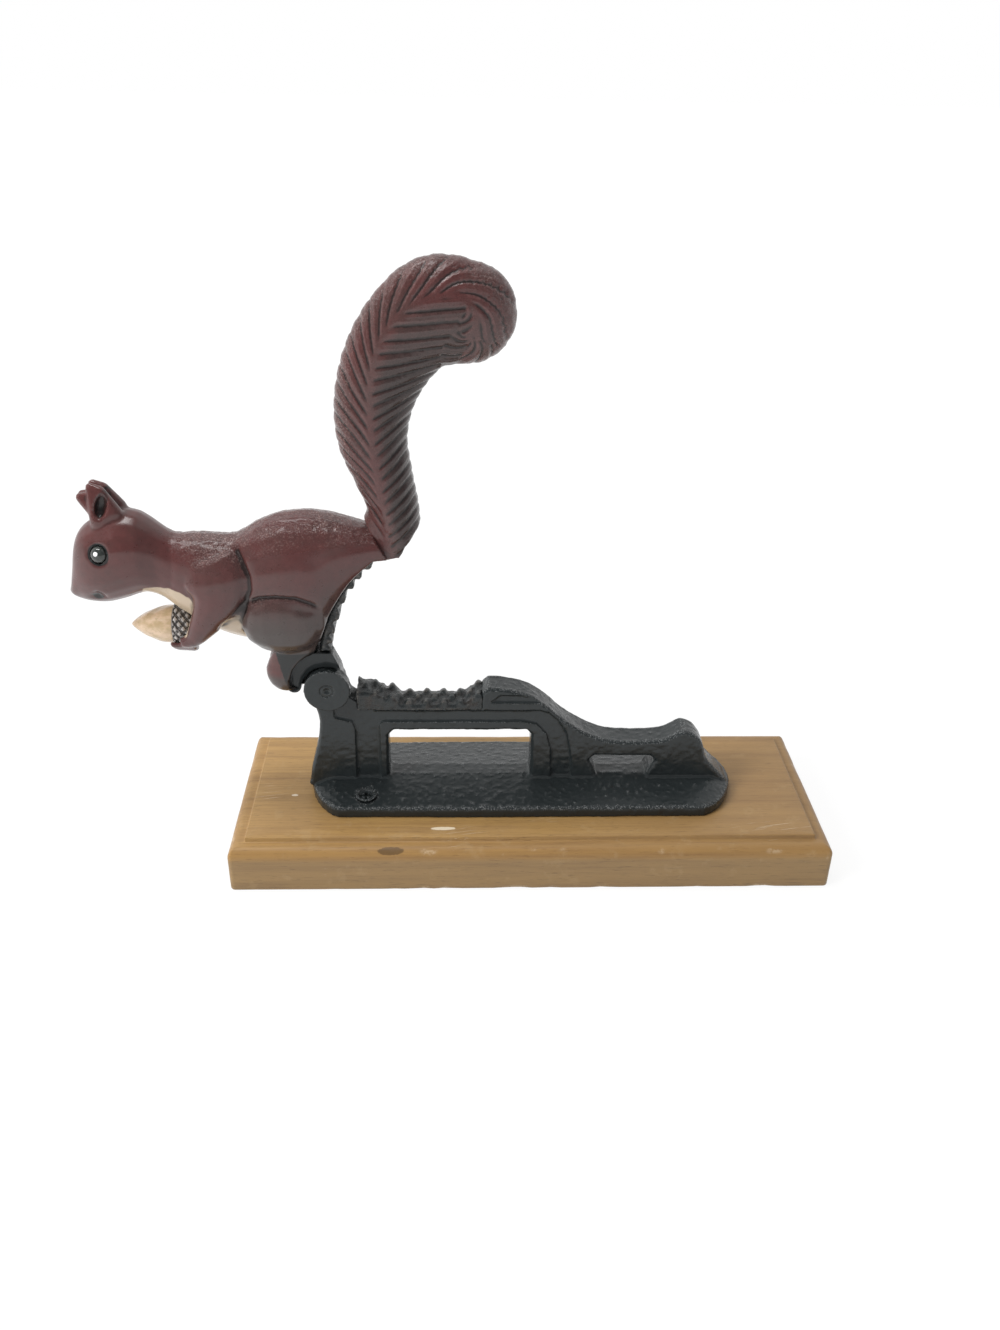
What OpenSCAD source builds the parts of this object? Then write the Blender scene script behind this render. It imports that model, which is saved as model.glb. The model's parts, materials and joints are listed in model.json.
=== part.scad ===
// Cast-iron squirrel nutcracker on a wooden plinth.
// The squirrel is the lever: its tail is the handle and the back of its thigh is the upper jaw.
// Origin: middle of the plinth's underside. +X towards the knob, +Y to the back, +Z up.
// Outlines of the two castings are drawn from the hinge axis, in millimetres.

/* [Plinth] */
// Length of the plinth, left to right
plinth_len = 216; // [204:1:240]
// Depth of the plinth, front to back
plinth_depth = 76; // [66:1:96]
// Thickness of the plinth board
plinth_thick = 19; // [17:0.5:25]
// Height of the upright edge below the moulding
plinth_edge_h = 13.3; // [10:0.1:14]
// Height of the small step up to the top panel
plinth_step_h = 1.8; // [1:0.1:2.5]
// Distance from the edge to the top panel
panel_inset = 5.8; // [4.5:0.1:8]
// Rounding of the plinth's four upright corners
plinth_corner_r = 2; // [1:0.5:5]

/* [Base casting] */
// Length of the foot flange
foot_len = 158; // [154:1:174]
// Width of the foot flange
foot_wide = 45; // [42:1:50]
// Height of the flange's upright lip
foot_lip_h = 3.2; // [2:0.1:4]
// Height of the flange's ridge above the plinth
foot_ridge_h = 7.2; // [6:0.1:8]
// Length of the flange's rounded left end
foot_left_end = 13; // [8:1:18]
// Length of the flange's rounded right end
foot_right_end = 15; // [10:1:20]
// Thickness of the posts, the beam and the arm
web_t = 11; // [11:0.5:13]
// Width of the bevel along their edges
web_bevel = 1; // [0.5:0.25:1.5]
// Depth of the sunk frame round the big window
relief_depth = 0.8; // [0.4:0.1:1]

/* [Hinge] */
// Distance from the middle of the plinth to the hinge axis, to the left
hinge_x = 73; // [71:0.5:75]
// Height of the hinge axis above the plinth's top
hinge_h = 46; // [45:0.5:50]
// Radius of the front hinge ear
ear_r = 8.1; // [7.8:0.1:8.5]
// Radius of the rear hinge ear
rear_ear_r = 5.3; // [5:0.1:5.6]
// Distance from the middle to the face of the front ear
ear_front = 8.5; // [8:0.25:9.5]
// Diameter of the rivet pin
pin_d = 5; // [4:0.25:5.5]
// Thickness of the squirrel's knuckle between the ears
knuckle_t = 6.6; // [6:0.1:6.8]
// Gap on each side of the knuckle
hinge_gap = 0.3; // [0.2:0.05:0.5]
// Gap all round the pin in the knuckle's bore
bore_gap = 0.1; // [0.05:0.05:0.2]

/* [Jaws] */
// Width of the toothed jaws, front to back
jaw_w = 10; // [8:0.5:10.8]
// Height of the small bumps on the lower jaw
tooth_h = 1.5; // [0.8:0.1:2]
// Depth of the notches between the upper jaw's teeth
notch_h = 1.6; // [0.8:0.1:2]

/* [Squirrel] */
// Half thickness of the body at the haunches
body_half = 15; // [13:0.5:17]
// Half thickness of the tail at its thickest
tail_half = 10; // [8:0.5:12]
// Distance between the fur locks along the tail
lock_pitch = 6.5; // [5:0.5:9]
// Depth of the grooves between the fur locks
lock_depth = 1.1; // [0.4:0.1:1.5]
// Radius of the acorn
acorn_r = 7.1; // [6:0.1:7.6]
// Radius of the eye beads
eye_r = 2.9; // [2.2:0.1:3.3]

/* [Fixing screws] */
// Diameter of the screws' heads
screw_head_d = 8; // [6:0.25:9]
// Diameter of the screws' shanks
screw_d = 4.2; // [3.5:0.1:4.8]
// Length of the screws
screw_len = 19; // [16:0.5:20]

/* [Hidden] */
$fn = 48;

wood = [0.66, 0.53, 0.39];
black_iron = [0.20, 0.21, 0.22];
worn_iron = [0.36, 0.35, 0.33];
bright_steel = [0.70, 0.70, 0.70];
maroon = [0.36, 0.20, 0.19];
nut_gold = [0.80, 0.68, 0.48];
cup_grey = [0.45, 0.43, 0.42];
eye_black = [0.05, 0.05, 0.05];

hinge = [-hinge_x, 0, plinth_thick + hinge_h];

// Curves and lofts

// A point at t on the smooth curve from b to c, with neighbours a and d
function blend(a, b, c, d, t) =
    0.5 * (2 * b + (c - a) * t + (2 * a - 5 * b + 4 * c - d) * t * t + (3 * b - a - 3 * c + d) * t * t * t);

// A smooth curve through the rows of P, with n steps between two rows
function smooth(P, n) = let (last = len(P) - 1)
    [for (i = [0:last - 1], j = [0:n - 1])
        blend(P[max(i - 1, 0)], P[i], P[i + 1], P[min(i + 2, last)], j / n), P[last]];

function arc(r, from, to, steps) =
    [for (i = [0:steps]) let (a = from + (to - from) * i / steps) r * [cos(a), sin(a)]];

// The outline P, drawn anticlockwise, moved inwards by d
function inset(P, d) = let (n = len(P))
    [for (i = [0:n - 1]) let (t = P[(i + 1) % n] - P[(i + n - 1) % n]) P[i] + d * [-t[1], t[0]] / norm(t)];

// A closed skin over rings of the same number of points
module loft(rings) {
    m = len(rings);
    n = len(rings[0]);
    sides = [for (i = [0:m - 2], j = [0:n - 1])
        let (a = i * n + j, b = i * n + (j + 1) % n)
        each [[a, b, b + n], [a, b + n, a + n]]];
    first = [[for (j = [n - 1:-1:0]) j]];
    last = [[for (j = [0:n - 1]) (m - 1) * n + j]];
    polyhedron([for (r = rings) each r], concat(first, sides, last), convexity = 6);
}

// A flat casting across Y with bevelled edges; the outline is drawn anticlockwise in X and Z
module cast_slab(outline, half, bevel) {
    minkowski() {
        across(half - bevel) polygon(inset(outline, bevel));
        for (s = [90, -90]) rotate([s, 0, 0]) cylinder(h = bevel, r1 = bevel, r2 = 0, $fn = 8);
    }
}

// The cutter for an opening in such a casting, with the same bevel at both faces
module slab_opening(outline, half, bevel) {
    over = 1;
    wide = -bevel - over;
    steps = [[-half - over, wide], [bevel - half, 0], [half - bevel, 0], [half + over, wide]];
    loft([for (s = steps) [for (p = inset(outline, s[1])) [p[0], s[0], p[1]]]]);
}

// A prism across Y, from a distance in front of the middle to a distance behind it
module between(front, back) {
    rotate([90, 0, 0]) translate([0, 0, -back]) linear_extrude(front + back) children();
}
module across(half) {
    between(half, half) children();
}

module rounded_plan(l, w, r) {
    square([l - 2 * r, w], center = true);
    square([l, w - 2 * r], center = true);
    for (x = [-1, 1], y = [-1, 1]) translate([x * (l / 2 - r), y * (w / 2 - r)]) circle(r);
}

// Plinth

round_r = plinth_thick - plinth_step_h - plinth_edge_h;

// Cross-section of the board with its two rounded upper edges
module board_section(w) {
    translate([-w / 2, 0]) square([w, plinth_edge_h]);
    translate([round_r - w / 2, 0]) square([w - 2 * round_r, plinth_edge_h + round_r]);
    for (s = [-1, 1]) translate([s * (w / 2 - round_r), plinth_edge_h]) circle(round_r);
}

module plinth() {
    color(wood) difference() {
        union() {
            intersection() {
                across(plinth_depth) board_section(plinth_len);
                rotate([90, 0, 90]) linear_extrude(2 * plinth_len, center = true) board_section(plinth_depth);
                linear_extrude(plinth_thick) rounded_plan(plinth_len, plinth_depth, plinth_corner_r);
            }
            translate([panel_inset - plinth_len / 2, panel_inset - plinth_depth / 2, 0])
                cube([plinth_len - 2 * panel_inset, plinth_depth - 2 * panel_inset, plinth_thick]);
        }
        at_screws() screw_shank();
    }
}

// Base casting

web_half = web_t / 2;
foot_x = -2.4;
foot_y = 1.3;
foot_top = plinth_thick + foot_ridge_h;
seat_z = -9.5;
brow_x = 55;
jaw_start = 10.3;
slot_r = 8.4;
stop_angle = 262;
heel_r = 11.8;
gap_half = knuckle_t / 2 + hinge_gap;

// Right end, knob, S-shaped arm and brow, from the foot upwards and to the left
arm_line = [[146.6, -40], [143, -36], [139.4, -31.8], [138, -28], [137, -25], [135.2, -22.4], [133, -20.5],
            [129.2, -19.3], [125.4, -21.4], [121.5, -23.2], [114.5, -23.8], [107, -23.7], [100, -22.7],
            [92, -19.2], [84, -13.6], [80, -9.8], [76.4, -6.8], [72.8, -4.2], [69, -2.6], [62, -1.1],
            [57, -1]];
// Left edge of the post, from the hinge downwards
post_line = [[-4.6, -9], [-3.7, -14.7], [-4.5, -22.5], [-6, -28.6], [-7.6, -35], [-8.2, -40]];

// The notch between the brow and the hinge takes the lower jaw
web_outline = concat([[-8, -43], [147, -43]], smooth(arm_line, 3),
                     [[brow_x, -3], [brow_x, -6.5], [9.6, -6.5], [7.8, -5.2], [6.4, -2.2]],
                     arc(rear_ear_r, -8, 205, 20), smooth(post_line, 3));

window_outline = [[23, -40], [71.5, -40], [73.2, -38], [73.2, -20.5], [71.5, -18.5], [23, -18.5], [21, -20.5],
                  [21, -38]];
slot_outline = [[98.5, -40], [116, -40], [119.5, -31.8], [118, -30.2], [97, -29.8], [95.2, -31.5]];
// The sunk frame round the big window, and the raised rim inside it
relief_outline = [[8.7, -44], [89, -44], [88.6, -33], [87.6, -26.3], [86.2, -19.7], [83, -14], [79.2, -10.6],
                  [75.9, -9.7], [16.6, -9.9], [8, -4.6], [1, -4], [1.8, -13], [8.1, -14.8], [9.1, -17.8]];
rim_outline = [[18, -45], [81, -45], [80.4, -27], [78.6, -20], [75, -15.9], [70, -14.7], [19, -14.7],
               [18, -16]];
recess_outline = [[57.5, -6.8], [77, -7], [73.9, -4.9], [68.4, -3.4], [61.5, -3.4]];

// One ring of the flange, whose two ends are rounded across its whole width
function foot_ring(inward, z) = [for (i = [0:35])
    let (c = cos(i * 10), s = sin(i * 10), end = c > 0 ? foot_right_end : foot_left_end)
    [foot_x + sign(c) * (foot_len / 2 - end) + sign(c) * (end - inward) * pow(abs(c), 1.15),
     foot_y + sign(s) * (foot_wide / 2 - inward) * pow(abs(s), 1.15), z]];
// The flat top of the ridge, under the web
function ridge_ring(z) = [for (i = [0:35]) let (c = cos(i * 10), s = sin(i * 10))
    [foot_x + sign(c) * (foot_len / 2 - 9) + 2 * c, sign(s) + 2 * s, z]];

lip_top = plinth_thick + foot_lip_h;
lip_round = 0.8;
// Height of the flange's sloping top at a distance y from the middle
function foot_height(y) = lip_top + lip_round
    + (foot_top - lip_top - lip_round) * (foot_wide / 2 - lip_round - y) / (foot_wide / 2 - lip_round - 3);

module foot() {
    loft([ridge_ring(foot_top), foot_ring(lip_round, lip_top + lip_round), foot_ring(0, lip_top),
          foot_ring(0, plinth_thick)]);
}

module web() {
    difference() {
        cast_slab(web_outline, web_half, web_bevel);
        slab_opening(window_outline, web_half, web_bevel);
        slab_opening(slot_outline, web_half, web_bevel);
        translate([jaw_start, -web_t, seat_z]) cube([brow_x - jaw_start, 2 * web_t, 6]);
        for (s = [-1, 1]) translate([0, s * (web_half + 2 - relief_depth), 0]) {
            across(2) difference() {
                polygon(relief_outline);
                polygon(rim_outline);
            }
            across(2) polygon(recess_outline);
        }
    }
}

// Room between the ears for the knuckle, and for its heel on the left
module knuckle_slot() {
    across(gap_half) {
        circle(slot_r);
        polygon(concat([[0, 0]], arc(heel_r + 0.6, stop_angle - 80, stop_angle, 8)));
    }
}

module base_casting() {
    color(black_iron) difference() {
        union() {
            foot();
            translate(hinge) {
                web();
                between(ear_front, 0) circle(ear_r);
            }
        }
        translate(hinge) {
            knuckle_slot();
            across(2 * ear_front) circle(d = pin_d);
        }
        at_screws() screw_hole();
    }
}

// Lower jaw: three steps at the hinge, then a bed of bumps that rises to the brow

jaw_base = [[jaw_start, -2.2], [14.8, -2.2], [15.6, -3.7], [19.4, -3.7], [20.2, -5.2], [24.4, -5.2],
            [25.6, -7.4], [48, -7.4], [51, -5], [brow_x, -3.4]];
bump_pitch = 6.2;
first_bump = 28.7;

// Bumps stand in rows across the jaw, each row half a pitch on from the last
function jaw_height(x, row) = lookup(x, jaw_base)
    + tooth_h * max(0, cos(360 * (x - first_bump + row * bump_pitch / 2) / bump_pitch));

// One section of the jaw at x: level underside, upright cheeks and five heights across the top
function jaw_ring(x) =
    let (edge = jaw_w / 2, low = lookup(x, jaw_base) - 1.2, a = jaw_height(x, 0), b = jaw_height(x, 1))
    [for (p = [[web_half, seat_z], [-web_half, seat_z], [-web_half, low], [-edge, a - 0.3], [-edge * 0.6, a],
               [-edge * 0.2, b], [edge * 0.2, b], [edge * 0.6, a], [edge, a - 0.3], [web_half, low]])
        [x, p[0], p[1]]];

module lower_jaw() {
    steps = 58;
    color(worn_iron) translate(hinge)
        loft([for (i = [0:steps]) jaw_ring(jaw_start + (brow_x - jaw_start) * i / steps)]);
}

// Hinge pin: a rivet worked flush with the faces of both ears

module hinge_pin() {
    color(bright_steel) translate(hinge) between(ear_front, web_half) circle(d = pin_d);
}

// Fixing screws, countersunk into the flange

screw_x = 12.8 - hinge_x;
screw_y = 14.4;
head_h = 2.6;
screw_z = foot_height(screw_y) + 0.3;

module at_screws() {
    for (s = [1, -1]) translate([s * screw_x + (s < 0 ? foot_x * 2 : 0), -s * screw_y, screw_z]) children();
}
module screw_shank() {
    translate([0, 0, -screw_len]) cylinder(h = screw_len, d = screw_d);
}
module screw_head() {
    translate([0, 0, -head_h]) cylinder(h = head_h, d1 = screw_d, d2 = screw_head_d);
}
module screw_hole() {
    screw_shank();
    screw_head();
    cylinder(h = 6, d = screw_head_d);
}
module mounting_screws() {
    color(bright_steel) at_screws() difference() {
        union() {
            screw_shank();
            screw_head();
        }
        for (a = [0, 90]) rotate(a) cube([4.4, 1, 2.4], center = true);
    }
}

// Squirrel: knuckle, jaw, body and tail are one iron casting in the real thing

knuckle_r = 6.2;
cheek_r = ear_r + 0.9;
cheek_half = 8;
paint_z = 13.9;
// Outline of the knuckle: its left side, and its right side in the slot and on both cheeks
left_side = [[-6, paint_z], [-9, 12], [-11.4, 8.6], [-12.8, 4], [-12, 0.2], [-cheek_r, 0]];
slot_side = [[knuckle_r, 0], [5.3, 3.3], [4.7, 6.2], [3.4, 9.1], [2, 11.8], [1.8, paint_z]];
front_side = [[0, 0], [4.9, 8.2], [3.8, 10.9], [2.4, paint_z]];
rear_side = [[0, 0], [1.2, paint_z]];

module lever_knuckle() {
    color(black_iron) translate(hinge) difference() {
        union() {
            across(knuckle_t / 2) {
                circle(knuckle_r);
                polygon(concat(slot_side, left_side));
                polygon(concat([[0, 0]], arc(heel_r, stop_angle - 15, stop_angle - 1.5, 4)));
            }
            difference() {
                union() {
                    between(cheek_half, 0) polygon(concat(front_side, left_side));
                    between(0, cheek_half) polygon(concat(rear_side, left_side));
                }
                across(cheek_half + 1) circle(cheek_r);
            }
        }
        across(2 * ear_front) circle(d = pin_d + 2 * bore_gap);
    }
}

// Upper jaw: the toothed back edge of the thigh, from the knuckle up to the tail
upper_teeth = [[2.2, 14.6], [2.6, 17.4], [3.5, 21.2], [5.4, 26.6], [7.5, 32.8], [10.7, 38.4], [13, 41.6],
               [16.4, 45.4], [20.6, 48.8]];
jaw_root = [[22.9, 50.1], [18, 50.2], [14.6, 47.2], [10.1, 42.4], [7.3, 38.4], [4.7, 34.1], [2.1, 29.2],
            [0.1, 23.8], [-1.6, 16.9], [-2, paint_z]];

// Between two teeth the edge first drops into a notch and then rises to the next tip
function teeth(P, depth) = [for (i = [0:len(P) - 2])
    let (along = P[i + 1] - P[i], out = [along[1], -along[0]] / norm(along))
    each [P[i], P[i] + along * 0.25 - out * 0.2, P[i] + along * 0.6 - out * depth,
          P[i] + along * 0.8 - out * depth * 0.8]];

module lever_jaw() {
    tips = teeth(upper_teeth, notch_h);
    outline = concat([[1.8, paint_z]], tips, [upper_teeth[len(upper_teeth) - 1]], jaw_root);
    worn = 0.6;
    color(worn_iron) translate(hinge) {
        across(jaw_w / 2 - worn) polygon(outline);
        across(jaw_w / 2) offset(delta = -worn) polygon(outline);
    }
}

// One ring of a body form: its centre, its direction in the XZ plane, half height, half thickness,
// and how much thinner it gets towards its underside
function form_ring(c, dir, high, thick, sides, thin = 0) = [for (i = [0:sides - 1])
    let (a = 360 * i / sides, y = sin(a) * thick * (1 - thin * (1 - cos(a)) / 2))
    c + [-sin(dir) * cos(a) * high, y, cos(dir) * cos(a) * high]];

// Trunk and head, from nose to rump: place, top, bottom, half thickness, thinning of the underside
trunk = [[-85.5, 36.4, 35, 0.7, 0], [-84.7, 38.2, 34.2, 2, 0], [-83.9, 41.2, 33.7, 3.2, 0],
         [-82.6, 47.6, 33, 4.6, 0], [-81.2, 53.8, 32.5, 6, 0], [-79.2, 57.8, 32.1, 7.7, 0],
         [-76, 60.8, 32, 9.6, 0], [-71, 63.4, 32.3, 11.2, 0], [-65, 65.2, 34, 11.6, 0],
         [-59, 64.2, 36, 11, 0], [-53.5, 60, 33.4, 10, 0.25], [-48.5, 56.6, 28.6, 11, 0.35],
         [-42, 56.8, 23.8, 12.8, 0.35], [-35, 56.6, 20.4, 13.2, 0.3], [-28, 56.8, 18.3, 12.8, 0.2],
         [-21, 61, 17.4, 13.6, 0.1], [-13, 64.2, 17.6, 14.6, 0], [-5, 65.2, 16.6, 15, 0.1],
         [0, 64.8, 17, 14.8, 0.25],
         [4, 64, 26, 14.2, 0.3], [12, 61.4, 38, 12.6, 0.35], [20, 59.4, 44.5, 10.4, 0.3],
         [28, 58, 48, 9, 0.3]];

module trunk_form() {
    loft([for (r = smooth(trunk, 2))
        form_ring([r[0], 0, (r[1] + r[2]) / 2], 0, (r[1] - r[2]) / 2, r[3] * body_half / 15, 20, r[4])]);
}

// An egg-shaped swelling
module swell(c, size) {
    translate(c) scale(size) sphere(1, $fn = 16);
}

// Foreleg: rows of x, y, z, half width in the picture plane, half thickness
foreleg = [[-36, 8.4, 51, 8, 3], [-33.8, 9.6, 44, 11, 4.6], [-34, 9.6, 36.8, 9.2, 4.8],
           [-37.2, 9, 30.8, 6.4, 4.6], [-41.4, 8, 24.4, 4.3, 4.2], [-44.6, 7.2, 20.6, 3, 3.6],
           [-48.4, 6.6, 19.2, 2, 2.8]];

// The direction in the XZ plane of a line of rows at row i; z is in column k
function heading(P, i, k) = let (a = P[max(i - 1, 0)], b = P[min(i + 1, len(P) - 1)])
    atan2(b[k] - a[k], b[0] - a[0]);

module limb(rows, sides) {
    P = smooth(rows, 2);
    loft([for (i = [0:len(P) - 1]) let (r = P[i])
        form_ring([r[0], r[1], r[2]], heading(P, i, 2), r[3], r[4], sides)]);
}

// Four fingers that lie round the acorn's cup, each at an angle below its axis
module paw() {
    grip_r = acorn_r + 1;
    for (i = [0:3]) let (a = 34 + 11 * i) translate([0, grip_r * cos(a), acorn_at[2] - grip_r * sin(a)]) hull() {
        translate([-45, 0, 0]) sphere(1.5, $fn = 7);
        translate([0.5 * i - 51.6, 0, 0]) sphere(1.2, $fn = 7);
    }
}

// Ear: a leaf with a hollow in its outer face, and a small lobe before it
module ear() {
    difference() {
        hull() {
            translate([-65.6, 3, 64.6]) sphere(2.6, $fn = 12);
            translate([-71.2, 4, 62.6]) sphere(2.8, $fn = 12);
            translate([-72.8, 1.6, 73.2]) sphere(1.5, $fn = 10);
            translate([-69.8, 1.8, 71.8]) sphere(1.8, $fn = 10);
        }
        translate([-69.4, 5.3, 68.3]) rotate([0, 14, 0]) scale([2.2, 2.9, 4.8]) sphere(1, $fn = 12);
    }
    hull() {
        translate([-72, 3.2, 64.4]) sphere(1.8, $fn = 10);
        translate([-76.6, 1.2, 69.6]) sphere(1.5, $fn = 10);
        translate([-74.6, 1.2, 70.2]) sphere(1.3, $fn = 10);
    }
}

module squirrel_forms() {
    trunk_form();
    for (s = [-1, 1]) scale([1, s, 1]) {
        limb(foreleg, 14);
        paw();
        ear();
        // thigh
        swell([-13, 8.5, 29.4], [15.4, 6.6, 13.4]);
        // hind foot
        hull() {
            swell([-14, 4.6, 6.4], [7.2, 4.6, 8]);
            swell([-9, 5.5, 19], [7, 4, 4]);
        }
    }
}

// Line where the tail leaves the rump
tail_cut = [[15.6, 63.5], [22.9, 50.1]];

module squirrel_body() {
    color(maroon) translate(hinge) difference() {
        squirrel_forms();
        across(40) polygon(concat([[-cheek_r, -20]], [for (i = [5:-1:0]) left_side[i]],
                                  [for (i = [len(jaw_root) - 1:-1:1]) jaw_root[i]],
                                  [tail_cut[1], tail_cut[0], [20, 80], [60, 80], [60, -20]]));
        acorn(0.15, $fn = 20);
        eye_beads(0.2, $fn = 14);
    }
}

// Tail: rows of x, z, half width in the picture plane, half thickness as a share of tail_half
tail = [[26.5, 40, 7, 0.75], [26.3, 50, 7.6, 0.8], [25.9, 58, 8.4, 0.85], [24.9, 67, 8.5, 0.9],
        [21.9, 78, 9.7, 0.95], [18.9, 90, 11.4, 1], [19.6, 102, 12.6, 1], [23.9, 114, 13.9, 1],
        [31, 124, 15.2, 1], [39.8, 129.9, 16.8, 1], [48.8, 129.8, 15.6, 1]];
curl_steps = 10;
curl_dir = -12;
// The tail's lower end beside the jaw
tail_room = [[22.9, 50.1], [26.6, 50.9], [33, 60.5], [40, 75], [80, 80], [90, 170], [-20, 170], [15.6, 63.5]];

// The spine with the round end of the curl, where the rings shrink about its middle
function tail_rows() =
    let (P = smooth([for (r = tail) [r[0], r[1], r[2], r[3] * tail_half]], 8), e = P[len(P) - 1])
    concat(P, [for (i = [1:curl_steps]) let (a = 90 * i / curl_steps, r = max(cos(a), 0.03))
        [e[0] + sin(a) * e[2] * cos(curl_dir), e[1] + sin(a) * e[2] * sin(curl_dir), e[2] * r, e[3] * r]]);

// The length along the rows of P up to row i
function travel(P, i) = i == 0 ? 0 : travel(P, i - 1) + norm([P[i][0] - P[i - 1][0], P[i][1] - P[i - 1][1]]);

// Herringbone locks: grooves that run from the spine outwards and on towards the tip
function lock_groove(along, a) = lock_depth * (0.3 + 0.7 * abs(cos(a)))
    * abs(sin(180 * (along - 10 * abs(cos(a))) / lock_pitch));

// One ring of the tail at row i, with the grooves cut into it
function tail_ring(P, i, sides) =
    let (r = P[i], along = travel(P, i), dir = i < len(P) - curl_steps ? heading(P, i, 1) : curl_dir)
    [for (j = [0:sides - 1])
        let (a = 360 * j / sides, g = lock_groove(along, a) * min(1, r[2] / 8), high = (r[2] - g) * cos(a))
        [r[0] - sin(dir) * high, (r[3] - g) * sin(a), r[1] + cos(dir) * high]];

module squirrel_tail() {
    P = tail_rows();
    color(maroon) translate(hinge) intersection() {
        loft([for (i = [0:len(P) - 1]) tail_ring(P, i, 20)]);
        across(40) polygon(tail_room);
    }
}

// Acorn: turned round a level axis, tip to the left
acorn_at = [-66.8, 0, 22.6];
nut_len = 15.3;
cup_len = 9.3;

function nut_profile(more) = concat([[0 - more, 0]], [for (i = [1:7]) let (t = i / 7)
    [nut_len * t, (acorn_r - 0.3) * pow(sin(90 * t), 0.75) + more]], [[nut_len, 0]]);
// As a cutter it starts before the cup, so that no thin flake of a paw is left in front of it
function cup_profile(more) = [[nut_len - 3 * more, 0], [nut_len - 3 * more, acorn_r + 0.4 + more],
    [nut_len + 1.6, acorn_r + 0.8 + more], [nut_len + 5.2, acorn_r + 0.2 + more],
    [nut_len + 8.1, acorn_r - 2.2 + more], [nut_len + cup_len + more, 0]];

module turned(profile) {
    translate(acorn_at) rotate([0, 90, 0]) rotate_extrude() polygon([for (p = profile) [p[1], p[0]]]);
}
module acorn(more) {
    turned(nut_profile(more));
    turned(cup_profile(more));
}
module acorn_nut() {
    color(nut_gold) translate(hinge) turned(nut_profile(0));
}
module acorn_cup() {
    color(cup_grey) translate(hinge) turned(cup_profile(0));
}

module eye_beads(more) {
    for (s = [-1, 1]) translate([-70.9, s * 8.9, 52.8]) sphere(eye_r + more);
}
module eyes() {
    color(eye_black) translate(hinge) eye_beads(0, $fn = 32);
}

plinth();
base_casting();
lower_jaw();
hinge_pin();
mounting_screws();
lever_knuckle();
lever_jaw();
squirrel_body();
squirrel_tail();
acorn_nut();
acorn_cup();
eyes();
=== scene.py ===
"""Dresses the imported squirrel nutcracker: finer castings, paint, wood and a plain studio."""

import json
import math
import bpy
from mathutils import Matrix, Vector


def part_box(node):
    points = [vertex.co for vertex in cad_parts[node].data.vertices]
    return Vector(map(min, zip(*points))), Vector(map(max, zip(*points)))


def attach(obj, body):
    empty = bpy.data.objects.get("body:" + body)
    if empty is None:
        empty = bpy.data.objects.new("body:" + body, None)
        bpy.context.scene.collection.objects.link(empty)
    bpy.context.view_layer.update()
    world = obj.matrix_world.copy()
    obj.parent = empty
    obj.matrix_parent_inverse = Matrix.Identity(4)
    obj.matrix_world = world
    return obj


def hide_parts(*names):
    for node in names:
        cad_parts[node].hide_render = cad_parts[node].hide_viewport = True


bl_info = {
    "name": "Squirrel nutcracker",
    "version": (1, 0, 0),
    "blender": (4, 5, 0),
    "location": "3D View > Sidebar > Nutcracker",
    "description": "Builds the painted castings, the plinth and the stage of a squirrel nutcracker",
    "category": "Object",
}

import bmesh
import bpy
import numpy as np
from mathutils import Matrix, Vector

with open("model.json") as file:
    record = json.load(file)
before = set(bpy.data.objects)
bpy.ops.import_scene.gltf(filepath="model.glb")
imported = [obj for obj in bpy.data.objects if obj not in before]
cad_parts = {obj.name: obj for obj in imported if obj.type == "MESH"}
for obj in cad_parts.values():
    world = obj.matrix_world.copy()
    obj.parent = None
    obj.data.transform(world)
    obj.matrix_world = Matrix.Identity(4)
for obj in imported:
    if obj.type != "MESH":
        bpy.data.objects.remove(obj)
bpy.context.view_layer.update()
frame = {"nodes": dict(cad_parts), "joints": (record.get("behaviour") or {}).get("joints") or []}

MM = 0.001
PINS = [j for j in frame["joints"] if j["name"] == "lever_hinge"]
HINGE = np.array(PINS[0]["pos_m"], float) / MM


# ---- meshes in millimetres


def read_rows(items, name, width, kind=np.float32):
    """One property of all of a mesh's vertices or edges, a row for each."""
    values = np.empty(len(items) * width, kind)
    items.foreach_get(name, values)
    return values.reshape(-1, width)


def points_of(mesh):
    """A mesh's vertices, in millimetres."""
    return read_rows(mesh.vertices, "co", 3).astype(float) / MM


def put_points(mesh, points):
    mesh.vertices.foreach_set("co", (points * MM).astype(np.float32).ravel())
    mesh.update()


def add_object(name, data):
    """A new object in the scene."""
    item = bpy.data.objects.new(name, data)
    bpy.context.scene.collection.objects.link(item)
    return item


def new_piece(name, points, faces):
    """A mesh object from points in millimetres."""
    mesh = bpy.data.meshes.new(name)
    mesh.from_pydata([tuple(p) for p in np.asarray(points) * MM], [], faces)
    mesh.update()
    return add_object(name, mesh)


def cad_copy(node, name):
    """A new piece that starts from a CAD node's mesh."""
    piece = add_object(name, frame["nodes"][node].data.copy())
    piece.data.materials.clear()
    return piece


def bake(piece):
    """Applies the piece's modifiers."""
    graph = bpy.context.evaluated_depsgraph_get()
    mesh = bpy.data.meshes.new_from_object(piece.evaluated_get(graph))
    old = piece.data
    piece.modifiers.clear()
    piece.data = mesh
    bpy.data.meshes.remove(old)


def recast(piece, voxel):
    """Makes the piece one even skin with quads of about voxel millimetres, ready to be worked."""
    skin = piece.modifiers.new("skin", "REMESH")
    skin.mode = "VOXEL"
    skin.voxel_size = voxel * MM
    bake(piece)
    if not len(piece.data.vertices):
        raise RuntimeError(f"{piece.name} came out empty")
    return Skin(piece)


def loft(rings):
    """Points and faces of a closed skin over rings of the same number of points."""
    rings = np.asarray(rings, float)
    m, n = rings.shape[:2]
    faces = [
        (i * n + j, i * n + (j + 1) % n, (i + 1) * n + (j + 1) % n, (i + 1) * n + j)
        for i in range(m - 1)
        for j in range(n)
    ]
    faces += [tuple(range(n - 1, -1, -1)), tuple((m - 1) * n + j for j in range(n))]
    return rings.reshape(-1, 3), faces


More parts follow.
